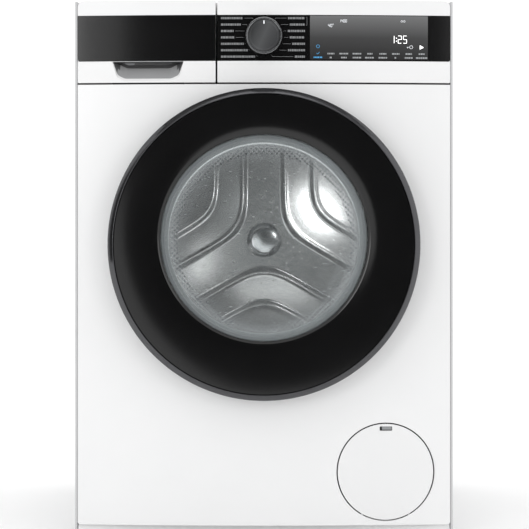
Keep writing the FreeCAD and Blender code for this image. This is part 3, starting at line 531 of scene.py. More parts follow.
def front_panel():
    """The white sheet between the fascia and the plinth, with the port, the flap hole and the latch slot."""
    low_z, high_z = panel_low[2], panel_high[2]
    outline = rounded([(-HALF, low_z, 0.004), (HALF, low_z, 0.004), (HALF, high_z, 0.001),
                       (-HALF, high_z, 0.001)], 5)
    sheet = plate("front_panel_skin", outline, 0.0012)
    port = punch(circle(0, WINDOW_Z, 0.1795, 160))
    flap = punch(circle(FLAP_X, FLAP_Z, 0.0776, 128))
    slot = punch(bar(0.205, 0.462, 0.022, 0.028, 0.004))
    add_piece("front_panel_skin", cut_out(sheet, port, flap, slot), "white_enamel", "cabinet",
              ["front_panel"], 40)
    start, end = face_y(HALF) + 0.0008, FRONT + 0.03
    for side, name in ((-1, "front_panel_left_return"), (1, "front_panel_right_return")):
        outer, inner = side * HALF, side * (HALF - 0.0012)
        outline = [(outer, start), (outer, end), (inner, end), (inner, start)]
        mesh = prism("return", outline, low_z + 0.004, high_z - 0.001, 2)
        add_piece(name, mesh, "white_enamel", "cabinet", ["front_panel"])
    lips = [("port_lip", WINDOW_Z, 0.0, 0.1794, 0.016), ("flap_lip", FLAP_Z, FLAP_X, 0.0775, 0.018)]
    for name, z, x, radius, depth in lips:
        edge = [(radius + 0.001, FRONT + 0.0015), (radius + 0.001, FRONT + depth), (radius, FRONT + depth),
                (radius, FRONT + 0.0015)]
        if x:
            edge = [(r, y + face_y(x) - FRONT + 0.002) for r, y in edge]
        add_piece(name, lathe(name, edge, z, x), "white_enamel", "cabinet", ["front_panel"])


# ---------------------------------------------------------------- fascia, drawer front and bands

FASCIA_LEFT = -0.0733
DRAWER_RIGHT = drawer_high[0]
TOP_LOW = drawer_low[2]
TOP_HIGH = drawer_high[2]
BAND_LOW = band_low[2]
BAND_HIGH = band_high[2]
CORNER = 0.0095


def fascia():
    """The control panel's white shell, with the pocket of the band and the hole of the dial."""
    outline = rounded([(FASCIA_LEFT, TOP_LOW, 0.0015), (HALF, TOP_LOW, 0.0015), (HALF, TOP_HIGH, CORNER),
                       (FASCIA_LEFT, TOP_HIGH, 0.0015)], 8)
    body = plate("fascia_front", outline, 0.035)
    left, right, low, high = FASCIA_LEFT - 0.01, HALF + 0.01, BAND_LOW - 0.0002, BAND_HIGH + 0.0002
    pocket = plate("Pocket", [(left, low), (right, low), (right, high), (left, high)], 0.0325)
    pocket.transform(Matrix.Translation((0, -0.03, 0)))
    hole = prism("Hole", circle(0, KNOB_Z, 0.022, 96), FRONT - 0.03, FRONT + 0.05)
    left, right, low, high = FASCIA_LEFT + 0.004, HALF - 0.004, TOP_LOW + 0.004, TOP_HIGH - 0.004
    hollow = plate("Hollow", rounded([(left, low, 0.001), (right, low, 0.001), (right, high, 0.006),
                                      (left, high, 0.001)]), 0.04)
    hollow.transform(Matrix.Translation((0, 0.0055, 0)))
    add_piece("fascia_front", cut_out(body, pocket, hollow, hole), "white_plastic", "cabinet", ["fascia"],
              30)


def drawer_front():
    """The drawer's face, with the finger scoop that slopes up and back under the band, its inner slopes painted
    darker as painted shade.
    """
    left = drawer_low[0]
    outline = rounded([(left, TOP_LOW, 0.0015), (DRAWER_RIGHT, TOP_LOW, 0.0015),
                       (DRAWER_RIGHT, TOP_HIGH, 0.0015), (left, TOP_HIGH, CORNER)], 8)
    body = plate("drawer_face", outline, 0.030)
    pocket = plate("Pocket", bar((left + DRAWER_RIGHT) / 2, (BAND_LOW + BAND_HIGH) / 2,
                                 DRAWER_RIGHT - left + 0.02, BAND_HIGH - BAND_LOW + 0.0004), 0.0325)
    pocket.transform(Matrix.Translation((0, -0.03, 0)))
    middle = -0.1829
    rings = []
    levels = [(-0.012, 0.0, 0.0), (-0.0005, 0.0, 0.0), (0.0012, 0.0022, 0.12), (0.0042, 0.0052, 0.22),
              (0.0105, 0.0145, 0.55), (0.0165, 0.0225, 0.85), (0.0185, 0.0230, 0.9), (0.0240, 0.0290, 1.0)]
    for depth, rise, narrow in levels:
        floor_z = 0.7188 + rise
        wide = 0.0568 - 0.005 * narrow
        ring = rounded([(middle - wide, 0.7507, 0.0005), (middle - wide + 0.0075, floor_z + 0.0055, 0.010),
                        (middle - wide + 0.0190, floor_z, 0.016), (middle + wide - 0.0190, floor_z, 0.016),
                        (middle + wide - 0.0075, floor_z + 0.0055, 0.010), (middle + wide, 0.7507, 0.0005)], 8)
        rings.append([(x, face_y(x) + depth, z) for x, z in ring])
    mesh = cut_out(body, pocket, lofted("Scoop", rings))
    face = add_piece("drawer_face", mesh, "white_plastic", "drawer", ["drawer_front"], 30)
    face.data.materials.append(MATERIAL["scoop_painted_shade"])
    face.data.materials.append(MATERIAL["scoop_painted_shadow"])
    # the scoop's inner slopes get the grey as painted shade, and the top strip under the band the near black as
    # painted shadow
    for polygon in face.data.polygons:
        x, y, z = polygon.center
        deep = y - face_y(x)
        if abs(x - middle) < 0.058 and z < 0.7509 and 0.0035 < deep < 0.026 and polygon.normal.y < 0.5:
            polygon.material_index = 2 if z > 0.7425 else 1


def band(name, left, right, body, node, round_left, round_right):
    """One length of the black band, rounded at the bottom corner of its free end."""
    outline = rounded([(left, BAND_LOW, 0.004 if round_left else 0.0003),
                       (right, BAND_LOW, 0.004 if round_right else 0.0003),
                       (right, BAND_HIGH, 0.0003), (left, BAND_HIGH, 0.0003)], 5)
    mesh = plate(name, outline, 0.0024, 0.0, 0.004)
    add_piece(name, mesh, "black_gloss", body, [node], 30)


# ---------------------------------------------------------------- programme dial

def from_front(points, steps):
    """A rounded (radius, y) outline whose y is measured from the face at mid width."""
    return rounded([(radius, FRONT + y, corner) for radius, y, corner in points], steps)


def dial():
    """The dial: a bright ring, a dark face with a lit tick, and a hub that goes through the fascia."""
    ring = from_front([(KNOB_R, -0.0006, 0), (KNOB_R, -0.0108, 0.0012),
                          (KNOB_R - 0.0012, -0.0128, 0.0006), (KNOB_R - 0.0024, -0.0128, 0.0006),
                          (KNOB_R - 0.004, -0.0112, 0), (KNOB_R - 0.004, -0.0006, 0)], 5)
    add_piece("dial_bezel", lathe("dial_bezel", ring, KNOB_Z), "bezel", "knob", ["knob_ring"], 40)
    face = from_front([(0.0, -0.0006, 0), (0.025, -0.0006, 0), (0.025, -0.0118, 0.0006),
                          (0.0225, -0.0118, 0.0015), (0.0215, -0.0110, 0.0015),
                          (0.0, -0.0104, 0)], 5)
    disc = lathe("dial_face", face, KNOB_Z)
    add_piece("dial_face", disc, "dial_grey", "knob", ["programme_knob"], 40)
    tick = prism("dial_tick", bar(0.0, KNOB_Z + 0.0205, 0.0016, 0.005, 0.0004), FRONT - 0.0121, FRONT - 0.0105)
    add_piece("dial_tick", tick, "lit_dim", "knob", ["programme_knob"])
    hub = from_front([(0.0, -0.0005, 0), (0.0175, -0.0005, 0), (0.0175, 0.006, 0.001),
                          (0.003, 0.008, 0.001), (0.003, 0.026, 0), (0.0, 0.026, 0)], 3)
    add_piece("dial_hub", lathe("dial_hub", hub, KNOB_Z, segments=64), "black_plastic", "knob",
              ["programme_knob"])


# ---------------------------------------------------------------- the door

def two_centre(name, outline, segments=200):
    """A turned outline whose centre moves: each point is (radius, y, share of the window's centre)."""
    def place(point, across, up):
        radius, y, share = point
        return radius * across, FRONT + y, DOOR_Z + (WINDOW_Z - DOOR_Z) * share + radius * up

    return turned(name, place, outline, segments)


def door():
    """The door: black ring, bright trim, glass bowl and the screws at its back."""
    outline = [(0.2320, -0.0455, 0), (0.2325, -0.0450, 0), (0.2325, -0.0425, 0), (0.2332, -0.0415, 0),
               (0.2385, -0.035, 0), (0.2398, -0.033, 0), (0.2398, -0.0090, 0), (0.2385, -0.0078, 0),
               (0.2355, -0.0078, 0), (0.2355, -0.0150, 0), (0.2300, -0.0330, 0), (0.2200, -0.0385, 0),
               (0.1680, -0.0375, 1), (0.1642, -0.0350, 1), (0.1640, -0.0135, 1), (0.1602, -0.0135, 1),
               (0.1600, -0.0345, 1), (0.1603, -0.0380, 1), (0.1613, -0.0402, 1), (0.1630, -0.0414, 1),
               (0.1660, -0.0422, 1), (0.1800, -0.0436, 0.8), (0.2000, -0.0449, 0.4), (0.2200, -0.0455, 0.08)]
    ring = two_centre("door_fascia", outline)
    notch = mesh_from("Notch", *block((-0.246, FRONT - 0.021, DOOR_Z - 0.018),
                                      (-0.206, FRONT + 0.005, DOOR_Z + 0.018)))
    add_piece("door_fascia", cut_out(ring, notch), "black_gloss", "door", ["door_ring"], 30)
    trim = from_front([(0.2430, -0.020, 0.0006), (0.2430, -0.0350, 0.0022),
                          (0.2346, -0.0458, 0.0018), (0.2336, -0.0458, 0.0004),
                          (0.2330, -0.0432, 0.0003), (0.2402, -0.0352, 0.0003),
                          (0.2402, -0.020, 0.0006)], 5)
    add_piece("door_trim", lathe("door_trim", trim, DOOR_Z, segments=200), "dark_chrome", "door",
              ["door_rim_trim"], 30)
    bowl = from_front([(0.0, 0.067, 0), (0.070, 0.0662, 0.04), (0.102, 0.062, 0.02),
                          (0.1235, 0.0515, 0.015), (0.1375, 0.032, 0.03), (0.1460, 0.001, 0.03),
                          (0.1500, -0.0126, 0.001), (0.1637, -0.0126, 0.0015), (0.1637, -0.0082, 0.0015),
                          (0.1555, -0.0082, 0.002), (0.1510, 0.004, 0.03), (0.1430, 0.034, 0.03),
                          (0.1280, 0.0558, 0.015), (0.1050, 0.0672, 0.02), (0.072, 0.0712, 0.04),
                          (0.0, 0.072, 0)], 6)
    add_piece("door_bowl", lathe("door_bowl", bowl, WINDOW_Z, segments=200), "glass", "door",
              ["door_glass"], 50)
    screws = []
    screw_reach = 0.2095
    for degrees in (54, 90, 126, 234, 270, 306):
        angle = math.radians(degrees)
        x, z = screw_reach * math.cos(angle), DOOR_Z + screw_reach * math.sin(angle)
        screws.append(screw_head(x, z, 0.0038, 0.0019, FRONT - 0.0003, -1))
    add_piece("door_screws", joined("door_screws", screws), "zinc_steel", "door")


def block(low, high):
    """The vertices and faces of a box."""
    corners = [(x, y, z) for z in (low[2], high[2]) for y in (low[1], high[1]) for x in (low[0], high[0])]
    return corners, [(0, 2, 3, 1), (4, 5, 7, 6), (0, 1, 5, 4), (2, 6, 7, 3), (0, 4, 6, 2), (1, 3, 7, 5)]


def joined(name, meshes):
    """Several meshes as one."""
    built = bmesh.new()
    for mesh in meshes:
        built.from_mesh(mesh)
    done = bpy.data.meshes.new(name)
    built.to_mesh(done)
    built.free()
    return done


def screw_head(x, z, radius, height, y, side):
    """A domed head with a cross slot, standing off the plane y on the given side (1 back, -1 front)."""
    profile = [(0.0, 0.0), (radius, 0.0), (radius, height * 0.4), (radius * 0.85, height * 0.8),
               (radius * 0.5, height), (0.0, height)]
    mesh = lathe("head", [(r, side * h) for r, h in profile], z, x, 24)
    cross = []
    slot_wide = radius * 0.28
    for wide, high in ((radius, slot_wide), (slot_wide, radius)):
        low, far = sorted((side * height * 0.45, side * height * 1.4))
        near_corner, far_corner = (x - wide / 2, low, z - high / 2), (x + wide / 2, far, z + high / 2)
        cross.append(mesh_from("slot", *block(near_corner, far_corner)))
    mesh = cut_out(mesh, *cross)
    mesh.transform(Matrix.Translation((0, y, 0)))
    return mesh


# ---------------------------------------------------------------- the drum

def drum_surface(x, z):
    """How far the pressed back of the drum stands out towards the front at (x, z) from its hub."""
    radius = math.hypot(x, z)
    total = 0.0
    soft = 0.0125
    for degrees in (90, 210, 330):
        along = (math.cos(math.radians(degrees)), math.sin(math.radians(degrees)))
        ahead = x * along[0] + z * along[1]
        aside = abs(x * along[1] - z * along[0])
        away = aside if ahead > 0 else radius
        total += math.exp(-away / soft)
    reach = -soft * math.log(total)
    inner = eased((reach - 0.030) / 0.008)
    outer = eased((reach - 0.083) / 0.007)
    bead = math.exp(-((reach - 0.037) / 0.0035) ** 2) + 0.8 * math.exp(-((reach - 0.091) / 0.0035) ** 2)
    tilt = 0.055 * max(0.0, reach - 0.040)
    star = 0.0065 * inner + 0.0045 * outer + 0.0016 * bead - tilt * inner
    fade = 1 - eased((radius - 0.176) / 0.02)
    return star * fade


def eased(amount):
    """A smooth step from 0 to 1."""
    amount = max(0.0, min(1.0, amount))
    return amount * amount * (3 - 2 * amount)


def drum():
    """The drum: a pierced wall, a rolled mouth, and a back pressed into a three armed star."""
    back = DRUM_END - 0.003
    vertices, pierced, places = [], [], []
    turns = 360                            # points in each circle
    wall = 0.0006                          # thickness of the sheet
    wall_radius = 0.2392
    radii = [0.028 + 0.003 * step for step in range(60)] + [0.2095, 0.2155, 0.2215]
    bend = 0.0115
    corner = [(0.2275 + bend * math.sin(math.radians(turn)),
               back - 0.0065 - bend + bend * math.cos(math.radians(turn))) for turn in range(10, 91, 20)]
    lengths = [back - 0.020 - 0.0103 * step for step in range(1, 30)]
    mouth = [(0.2392, 0.012), (0.2360, 0.005), (0.2300, 0.0015), (0.2150, 0.0008), (0.1900, 0.0008),
             (0.1650, 0.0008), (0.1570, 0.0015), (0.1530, 0.0045), (0.1520, 0.009), (0.1526, 0.0125)]
    rows = [("back", radius, 0.0) for radius in radii]
    rows += [("ring", radius, y) for radius, y in corner]
    rows += [("wall", wall_radius, y) for y in lengths]
    rows += [("lip", radius, DRUM_START + y) for radius, y in mouth]
    run = 0.0
    before = None
    for kind, radius, y in rows:
        for turn in range(turns):
            angle = 2 * math.pi * turn / turns
            x, z = radius * math.cos(angle), radius * math.sin(angle)
            level = y
            if kind == "back":
                dished = 0.009 * (eased((radius - 0.0285) / 0.0025) - eased((radius - 0.200) / 0.018))
                level = back - 0.009 + dished - drum_surface(x, z) - wall
            vertices.append((x, level, DRUM_Z + z))
        here = (radius, back if kind == "back" else y)
        run += math.dist(here, before) if before else 0.0
        before = here
        dotted = (kind == "back" and radius > 0.158) or kind == "wall"
        pierced.append(1.0 if dotted else 0.0)
        places.append(run)
    mesh = mesh_from("drum_sheet", vertices, strips(len(rows), turns))
    mask = mesh.attributes.new("pierced", "FLOAT", "POINT")
    for row, share in enumerate(pierced):
        for turn in range(turns):
            mask.data[row * turns + turn].value = share
    layer = mesh.uv_layers.new(name="UVMap")
    around = 2 * math.pi * wall_radius
    for polygon in mesh.polygons:
        row, turn = divmod(polygon.index, turns)
        for corner_index in polygon.loop_indices:
            vertex = mesh.loops[corner_index].vertex_index
            v_row, v_turn = divmod(vertex, turns)
            if turn == turns - 1 and v_turn == 0:
                v_turn = turns
            if rows[row][0] == "back":
                place = vertices[vertex]
                layer.data[corner_index].uv = (place[0], place[2] - DRUM_Z)
            else:
                layer.data[corner_index].uv = (around * v_turn / turns, places[v_row])
    piece = add_piece("drum_sheet", mesh, "drum_steel", "drum", ["drum_shell"], 60)
    sheet = piece.modifiers.new("Sheet", "SOLIDIFY")
    sheet.thickness = wall
    sheet.offset = 0.0
    depsgraph = bpy.context.evaluated_depsgraph_get()
    done = bpy.data.meshes.new_from_object(piece.evaluated_get(depsgraph))
    piece.modifiers.clear()
    piece.data = done
    cap = rounded([(0.0, back - 0.0100, 0), (0.0314, back - 0.0010, 0), (0.0314, back - 0.0105, 0.001),
                   (0.0298, back - 0.0122, 0.001), (0.0240, back - 0.0162, 0.020), (0.0, back - 0.0196, 0)], 8)
    add_piece("drum_hub_cap", lathe("drum_hub_cap", cap, DRUM_Z, segments=96), "silver", "drum",
              ["drum_shell"])


def paddles():
    """Three plastic lifters with rounded backs, between the arms of the star."""
    pieces = []
    for degrees in (60, 180, 300):
        section = rounded([(-0.036, 0.2385, 0.001), (-0.030, 0.226, 0.010), (-0.013, 0.194, 0.010),
                           (0.0, 0.1885, 0.012), (0.013, 0.194, 0.010), (0.030, 0.226, 0.010),
                           (0.036, 0.2385, 0.001)], 5)
        mesh = prism("paddle", section, FRONT + 0.106, FRONT + 0.380)
        with edited(mesh) as built:
            edges = [edge for edge in built.edges if abs(edge.verts[0].co.y - edge.verts[1].co.y) < 0.0001]
            bmesh.ops.bevel(built, geom=edges, offset=0.004, segments=3, affect="EDGES", clamp_overlap=True)
        mesh.transform(Matrix.Translation((0, 0, DRUM_Z)) @ Matrix.Rotation(math.radians(90 - degrees), 4, "Y"))
        pieces.append(mesh)
    add_piece("drum_lifters", joined("drum_lifters", pieces), "grey_plastic", "drum", ["drum_paddles"],
              40)


# ---------------------------------------------------------------- gasket, springs and hoses

def gasket():
    """The grey door seal: a clamped bead on the panel's rim, a soft lip, two folds and the tub's rim."""
    outline = rounded([(0.1768, 0.0013, 0.001), (0.1768, 0.016, 0.002), (0.1825, 0.0175, 0.001),
                       (0.1825, 0.0235, 0.001), (0.1755, 0.0245, 0.002), (0.1755, 0.0395, 0.002),
                       (0.1680, 0.0460, 0.002), (0.1680, 0.0636, 0.0008), (0.1642, 0.0636, 0.0008),
                       (0.1642, 0.0440, 0.002), (0.1715, 0.0375, 0.002), (0.1715, 0.0205, 0.002),
                       (0.1640, 0.0162, 0.002), (0.1512, 0.0140, 0.001), (0.1512, 0.0112, 0.001),
                       (0.1650, 0.0118, 0.002), (0.1738, 0.0013, 0.001)], 4)
    mesh = lathe("door_seal", [(radius, FRONT + y) for radius, y in outline], WINDOW_Z, segments=160)
    piece = add_piece("door_seal", mesh, "rubber_grey", None, ["door_gasket"])
    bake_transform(piece)


def coil_spring(name, x, y, low, high, radius, wire, turns):
    """A hung coil with a straight hooked end at the top and the bottom."""
    route = []
    steps = 20
    for step in range(turns * steps + 1):
        angle = 2 * math.pi * step / steps
        share = step / (turns * steps)
        route.append(Vector((x + radius * math.cos(angle), y + radius * math.sin(angle),
                             low + 0.020 + (high - low - 0.040) * share)))
    foot = [Vector((x, y, low + wire)), Vector((x, y, low + 0.010)), Vector((x + radius * 0.5, y, low + 0.017))]
    head = [Vector((x + radius * 0.5, y, high - 0.017)), Vector((x, y, high - 0.010)),
            Vector((x, y, high - wire))]
    return swept(name, foot + route + head, wire, 8)


def swept(name, route, radius, sides):
    """A round bar along a route of points."""
    rings = []
    side = Vector((1, 0.3, 0.2))
    for index, place in enumerate(route):
        ahead = route[min(index + 1, len(route) - 1)] - route[max(index - 1, 0)]
        ahead.normalize()
        side = (side - ahead * side.dot(ahead)).normalized()
        up = ahead.cross(side)
        angles = [2 * math.pi * turn / sides for turn in range(sides)]
        rings.append([place + (side * math.cos(angle) + up * math.sin(angle)) * radius for angle in angles])
    return lofted(name, rings)


def upright_bellows(name, x, y, low, high, radius, folds):
    """A ribbed rubber hose that stands upright."""
    cuff = (high - low) * 0.2
    points = [(radius, low), (radius, low + cuff)]
    for fold in range(folds):
        start = low + cuff + (high - low - 2 * cuff) * fold / folds
        step = (high - low - 2 * cuff) / folds
        points += [(radius + 0.0002, start + step * 0.15), (radius + 0.0026, start + step * 0.35),
                   (radius + 0.0026, start + step * 0.65), (radius + 0.0002, start + step * 0.85)]
    points += [(radius, high - cuff), (radius, high)]
    inner = [(r - 0.0022, z) for r, z in reversed(points)]
    mesh = lathe(name, points + inner, 0.0, segments=64)
    mesh.transform(Matrix.Rotation(math.radians(90), 4, "X"))
    mesh.transform(Matrix.Translation((x, y, 0)))
    return mesh


# ---------------------------------------------------------------- service flap

def service_flap():
    """The round filter door, with its finger latch in a small window at the top."""
    mesh = plate("filter_door", circle(FLAP_X, FLAP_Z, FLAP_R - 0.0002, 128), 0.002, 0.0, 0.004)
    middle_x = 0.19235
    window = punch(bar(middle_x, 0.1717, 0.0197, 0.0068, 0.0012), 0.04)
    add_piece("filter_door", cut_out(mesh, window), "white_plastic", "service_flap", ["service_flap"],
              30)
    tab = plate("filter_latch", bar(middle_x + 0.0016, 0.1722, 0.0155, 0.0052, 0.0010), 0.0016, 0.0, 0.003)
    tab.transform(Matrix.Translation((0, 0.0026, 0)))
    add_piece("filter_latch", tab, "grey_plastic", "service_flap", ["service_flap"])
    back = plate("filter_latch_seat", bar(middle_x, 0.1717, 0.0225, 0.0092, 0.001), 0.001, 0.0, 0.003)
    back.transform(Matrix.Translation((0, 0.0046, 0)))
    add_piece("filter_latch_seat", back, "black_plastic", "service_flap", ["service_flap"])


# ---------------------------------------------------------------- display, leader lines and touch fields
# Places on the band are in millimetres: x from the middle of the machine, z up from the floor.

PROUD = 0.00025                    # how far a printed or lit shape stands off the glass


def printed(name, shapes, material, inset=0.0):
    """Flat outlines laid on the bowed band as one thin mesh."""
    vertices, faces = [], []
    for outline in shapes:
        start = len(vertices)
        for x, z in outline:
            vertices.append((x, face_y(x) - PROUD + inset, z))
        faces.append(tuple(range(start, len(vertices))))
    mesh = mesh_from(name, vertices, faces)
    with edited(mesh) as built:
        bmesh.ops.recalc_face_normals(built, faces=built.faces)
        for face in built.faces:
            if face.normal.y > 0:
                face.normal_flip()
    add_piece(name, mesh, material, "cabinet")


def dash(left, z, wide, high):
    """A short bar, given its left end and its middle height."""
    return bar((left + wide / 2) * MM, z * MM, wide * MM, high * MM)


def stroke(start, end, wide):
    """A straight line between two places on the band."""
    a, b = Vector(start) * MM, Vector(end) * MM
    side = (b - a).orthogonal().normalized() * wide * MM / 2
    return [tuple(a + side), tuple(b + side), tuple(b - side), tuple(a - side)]


def line_through(points, wide):
    """Straight lines from each point to the next."""
    return [stroke(points[index], points[index + 1], wide) for index in range(len(points) - 1)]


def ring_shape(x, z, radius, thick, steps=20):
    """A thin ring as a closed run of strokes."""
    points = []
    for step in range(steps + 1):
        angle = 2 * math.pi * step / steps
        points.append((x + radius * math.cos(angle), z + radius * math.sin(angle)))
    return line_through(points, thick)


SEGMENTS = {"0": "abcdef", "1": "bc", "2": "abged", "4": "fgbc", "5": "afgcd"}


def digit(figure, x, top, wide, high, thick):
    """A seven segment figure, given its left edge and its top."""
    left, right = x + thick / 2, x + wide - thick / 2
    upper, lower = top - thick / 2, top - high + thick / 2
    middle = (upper + lower) / 2
    ends = {"a": ((left, upper), (right, upper)), "b": ((right, upper), (right, middle)),
            "c": ((right, middle), (right, lower)), "d": ((left, lower), (right, lower)),
            "e": ((left, middle), (left, lower)), "f": ((left, upper), (left, middle)),
            "g": ((left, middle), (right, middle))}
    return [stroke(*ends[letter], thick) for letter in SEGMENTS[figure]]


def figures(text, x, top, wide, high, thick, step):
    """A row of figures. A colon is two square dots."""
    dot = 1.4
    shapes = []
    for figure in text:
        if figure == ":":
            for share in (0.32, 0.7):
                shapes.append(dash(x + 0.3, top - high * share, dot, dot))
            x += 3.15
        else:
            shapes += digit(figure, x, top, wide, high, thick)
            x += step
    return shapes


def words(x, z, wide, high, seed):
    """A row of short bars in place of a printed word."""
    gap = 0.7
    shapes = []
    place = x
    step = 0
    while place < x + wide - 0.94:
        length = min(1.7 + 0.8 * ((seed * 7 + step * 5) % 4), x + wide - place)
        shapes.append(dash(place, z, length, high))
        place += length + gap
        step += 1
    return shapes


def programme_marks():
    """The programme words on both sides of the dial, and their leader lines."""
    rows = [818.3 - 10.1 * row for row in range(7)]
    left_start, right_end = -67.7, 64.5
    word_high, gap, line_wide = 3.3, 2.4, 0.44
    left_ends = [-33.2, -36.5, -47.7, -46.9, -31.6, -25.5, -12.8]
    right_starts = [37.8, 40.6, 37.5, 40.6, 44.5, 37.8, 48.6]
    dial_z = KNOB_Z / MM
    touch_radius = 31.8
    shapes, lines = [], []
    for index, z in enumerate(rows):
        shapes += words(left_start, z, left_ends[index] - left_start, word_high, index)
        shapes += words(right_starts[index], z, right_end - right_starts[index], word_high, index + 3)
        for side, end in ((-1, left_ends[index] + gap), (1, right_starts[index] - gap)):
            angle = math.asin(max(-0.93, min(0.93, (z - dial_z) / 33.8)))
            touch = (side * touch_radius * math.cos(angle), dial_z + touch_radius * math.sin(angle))
            bend = (touch[0] + side * abs(z - touch[1]) * 0.6, z)
            if side * (end - bend[0]) > 0.8:
                lines += line_through([touch, bend, (end, z)], line_wide)
            else:
                lines.append(stroke(touch, (end, z), line_wide))
    lines += line_through([(66.1, 819.7), (67.7, 819.7), (67.7, 807.1), (66.1, 807.1)], 0.47)
    printed("programme_marks", shapes, "faint_ink")
    printed("leader_lines", lines, "faint_ink")


def display_marks():
    """The display glass, its lit figures and symbols, and the touch fields under them."""
    left, right, bottom, top = 72.4, 258.9, 753.3, 822.5
    outline = bar((left + right) / 2 * MM, (bottom + top) / 2 * MM, (right - left) * MM, (top - bottom) * MM)
    screen = plate("display_glass", outline, 0.0004, 0.0, 0.004)
    screen.transform(Matrix.Translation((0, -0.00012, 0)))
    add_piece("display_glass", screen, "display", "cabinet")

    time_left = figures("1:25", 199.7, 791.5, 6.1, 12.4, 0.87, 8.3)
    start_sign = [(246.0, 776.6), (252.3, 773.1), (246.0, 769.6)]
    time_left.append([(x * MM, z * MM) for x, z in start_sign])
    printed("display_figures", time_left, "lit", -0.0003)

    marks = figures("40", 101.0, 809.3, 2.7, 5.0, 0.55, 3.6) + ring_shape(108.9, 808.7, 0.7, 0.4)
    marks += figures("1400", 118.7, 816.5, 2.4, 4.7, 0.5, 3.15)
    marks += ring_shape(217.5, 814.0, 1.4, 0.47) + ring_shape(221.3, 814.0, 1.4, 0.47)
    marks += ring_shape(232.3, 773.3, 2.5, 0.55)
    marks += line_through([(225.4, 773.3), (229.4, 773.3)], 0.63)
    marks += line_through([(226.6, 773.3), (226.6, 771.5)], 0.55)
    printed("display_marks", marks, "lit_dim", -0.0003)

    upper_widths = (11.0, 14.2, 13.5, 8.2, 11.0, 11.6, 10.1, 9.4)
    lower_widths = (3.8, 8.8, 13.2, 15.1, 13.5, 3.8, 12.6, 17.9)
    labels = []
    for index in range(8):
        middle = 105.4 + 20.5 * index
        labels += words(middle - upper_widths[index] / 2, 762.6, upper_widths[index], 2.4, index)
        labels += words(middle - lower_widths[index] / 2, 756.4, lower_widths[index], 2.4, index + 2)
    printed("display_labels", labels, "label", -0.0003)

    blue = ring_shape(85.0, 774.0, 2.4, 0.63)
    blue += line_through([(82.8, 763.3), (84.4, 761.8), (87.5, 764.9)], 0.7)
    blue += words(78.1, 756.7, 13.5, 2.2, 4)
    printed("display_lit_field", blue, "lit_blue", -0.0003)


# ---------------------------------------------------------------- assembly

front_panel()
fascia()
drawer_front()
band("fascia_band", FASCIA_LEFT, HALF, "cabinet", "control_band", False, True)
band("drawer_face_band", drawer_low[0], DRAWER_RIGHT, "drawer", "drawer_band", True, False)
dial()
door()
drum()
paddles()
service_flap()
programme_marks()
display_marks()
gasket()


def soft_links():
    """The springs and hoses that stretch between the cabinet and the wash unit."""
    low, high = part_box("suspension_springs")
    y = (low[1] + high[1]) / 2
    radius = (high[1] - low[1]) / 2 - 0.0022
    for name, x in (("left_spring", low[0] + radius + 0.0022), ("right_spring", high[0] - radius - 0.0022)):
        mesh = coil_spring(name, x, y, low[2], high[2], radius, 0.0021, 18)
        piece = add_piece(name, mesh, "steel", None, ["suspension_springs"], 60)
        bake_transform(piece)
    for node, name, lower, upper in (("sump_hose", "sump_bellows", "cabinet", "wash_unit"),
                                     ("dispenser_hose", "dispenser_bellows", "wash_unit", "cabinet")):
        low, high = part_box(node)
        x, y = (low[0] + high[0]) / 2, (low[1] + high[1]) / 2
        mesh = upright_bellows(name, x, y, low[2], high[2], (high[0] - low[0]) / 2 - 0.0027, 4)
        piece = add_piece(name, mesh, "rubber_black", None, [node], 60)
        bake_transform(piece)


def hidden_fittings():
    """Small fittings inside: the fill hose and the softener's siphon cover."""
    housing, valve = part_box("dispenser_housing"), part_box("inlet_valve")
    x, z = -0.190, 0.780
    start, end = housing[1][1] - 0.012, valve[0][1] + 0.012
    route = [Vector((x, start + (end - start) * step / 24, z)) for step in range(25)]
    pipe = swept("fill_hose", route, 0.0135, 32)
    bore = swept("bore", [place.copy() for place in (route[0] - Vector((0, 0.01, 0)), route[12],
                                                    route[-1] + Vector((0, 0.01, 0)))], 0.0105, 32)
    add_piece("fill_hose", cut_out(pipe, bore), "rubber_grey", "cabinet")
    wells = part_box("drawer_tray")
    lid_z = wells[1][2] - 0.010
    front = wells[0][1]
    lid = prism("siphon_cover", rounded([(-0.2175, front + 0.030, 0.006), (-0.1565, front + 0.030, 0.006),
                                         (-0.1565, front + 0.075, 0.006), (-0.2175, front + 0.075, 0.006)]),
                lid_z, lid_z + 0.0025, 2)
    cap = prism("siphon_cap", circle(-0.187, front + 0.052, 0.009, 32), lid_z + 0.002, lid_z + 0.006, 2)
    add_piece("siphon_cover", joined("siphon_cover", [lid, cap]), "grey_plastic", "drawer")


soft_links()
hidden_fittings()

# ---------------------------------------------------------------- kept CAD pieces

def kept_nodes():
    """Gives every kept CAD piece its finish, a darker copy of the white enamel as painted shade on the side
    panels, and slightly rounded edges.
    """
    finish = {part["node"]: part["material_slot"] for part in frame["record"]["subparts"]}
    for name, piece in frame["nodes"].items():
        if piece.hide_render:
            continue
        piece.data.materials.clear()
        # the side panels take the darker copy of the white enamel, as painted shade
        piece.data.materials.append(MATERIAL["side_enamel_painted_shade" if "side_panel" in name else finish[name]])
        bevel = piece.modifiers.new("Edges", "BEVEL")
        bevel.width = 0.0004
        bevel.segments = 2
        bevel.limit_method = "ANGLE"
        bevel.angle_limit = math.radians(40)
        bevel.harden_normals = True


kept_nodes()

# ---------------------------------------------------------------- studio

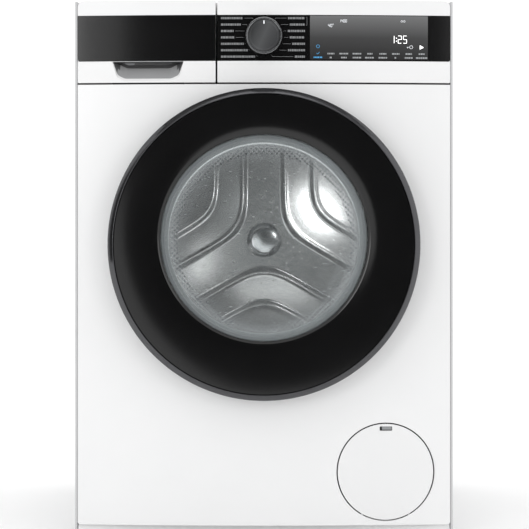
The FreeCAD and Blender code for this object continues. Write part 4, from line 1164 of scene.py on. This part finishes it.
def studio():
    """The white floor, the white world and the soft lamps, outside and inside the drum."""
    floor = linked("studio_floor", mesh_from("studio_floor", *block((-6, -6, -0.02), (6, 6, -0.0002))))
    floor.data.materials.append(surfaced("floor", (0.95, 0.95, 0.95), 0.8, 40, 0.04, 0.02, tint=0.004))
    world = bpy.data.worlds.new("Studio")
    bpy.context.scene.world = world
    world.use_nodes = True
    background = world.node_tree.nodes["Background"]
    background.inputs["Color"].default_value = (1, 1, 1, 1)
    background.inputs["Strength"].default_value = 1.08
    lamps = [("left_box", (-1.45, -3.1, 1.15), (-0.1, -0.2, 0.5), (0.6, 1.3), 9),
             ("right_box", (1.75, -2.9, 1.1), (0, -0.2, 0.45), (0.5, 1.3), 4),
             ("drum_upper", (0.134, -0.150, 0.545), (0.10, 0.13, 0.51), (0.05, 0.03), 0.07),
             ("drum_left", (-0.130, -0.150, 0.44), (-0.05, 0.13, 0.45), (0.04, 0.10), 0.022),
             ("drum_lower", (0.02, -0.150, 0.340), (0.02, 0.13, 0.38), (0.12, 0.03), 0.014),
             ("top", (0, 0.6, 2.6), (0, 0.6, 0.0), (1.6, 1.6), 8)]
    for name, place, target, size, power in lamps:
        lamp = bpy.data.lights.new(name, "AREA")
        lamp.shape = "RECTANGLE"
        lamp.size, lamp.size_y = size
        lamp.energy = power
        holder = linked(name, lamp)
        holder.visible_camera = False
        holder.location = place
        holder.rotation_euler = (Vector(target) - Vector(place)).to_track_quat("-Z", "Y").to_euler()


def flags():
    """Two black cards, behind the camera and at the left, that only reflections see."""
    corners = [(-0.85, 2.2), (-0.85, 0.85), (-0.42, 0.60), (-0.12, 0.0), (1.15, 0.0), (1.15, 2.2)]
    ahead = [(x, -3.2, z) for x, z in corners]
    beside = [(-2.4, -1.3, 0.20), (-2.4, 0.5, 0.20), (-2.4, 0.5, 3.2), (-2.4, -1.3, 3.2)]
    black = surfaced("flag", (0.012, 0.012, 0.012), 0.9, 40)
    for name, places in (("front_flag", ahead), ("left_flag", beside)):
        card = linked(name, mesh_from(name, places, [tuple(range(len(places)))]))
        card.data.materials.append(black)
        card.visible_camera = False
        card.visible_diffuse = False
        card.visible_shadow = False
        card.visible_transmission = False


def camera():
    """A level camera, 2.5 m in front of the machine."""
    lens = bpy.data.cameras.new("Camera")
    holder = linked("Camera", lens)
    holder.location = (0, FRONT - 2.5, 0.458)
    holder.rotation_euler = (math.radians(90), 0, 0)
    lens.sensor_width = 36
    lens.lens = 108.1
    lens.shift_x = 0.001
    lens.shift_y = -0.0330
    bpy.context.scene.camera = holder


studio()
flags()
camera()
bpy.context.scene.view_settings.view_transform = "Standard"
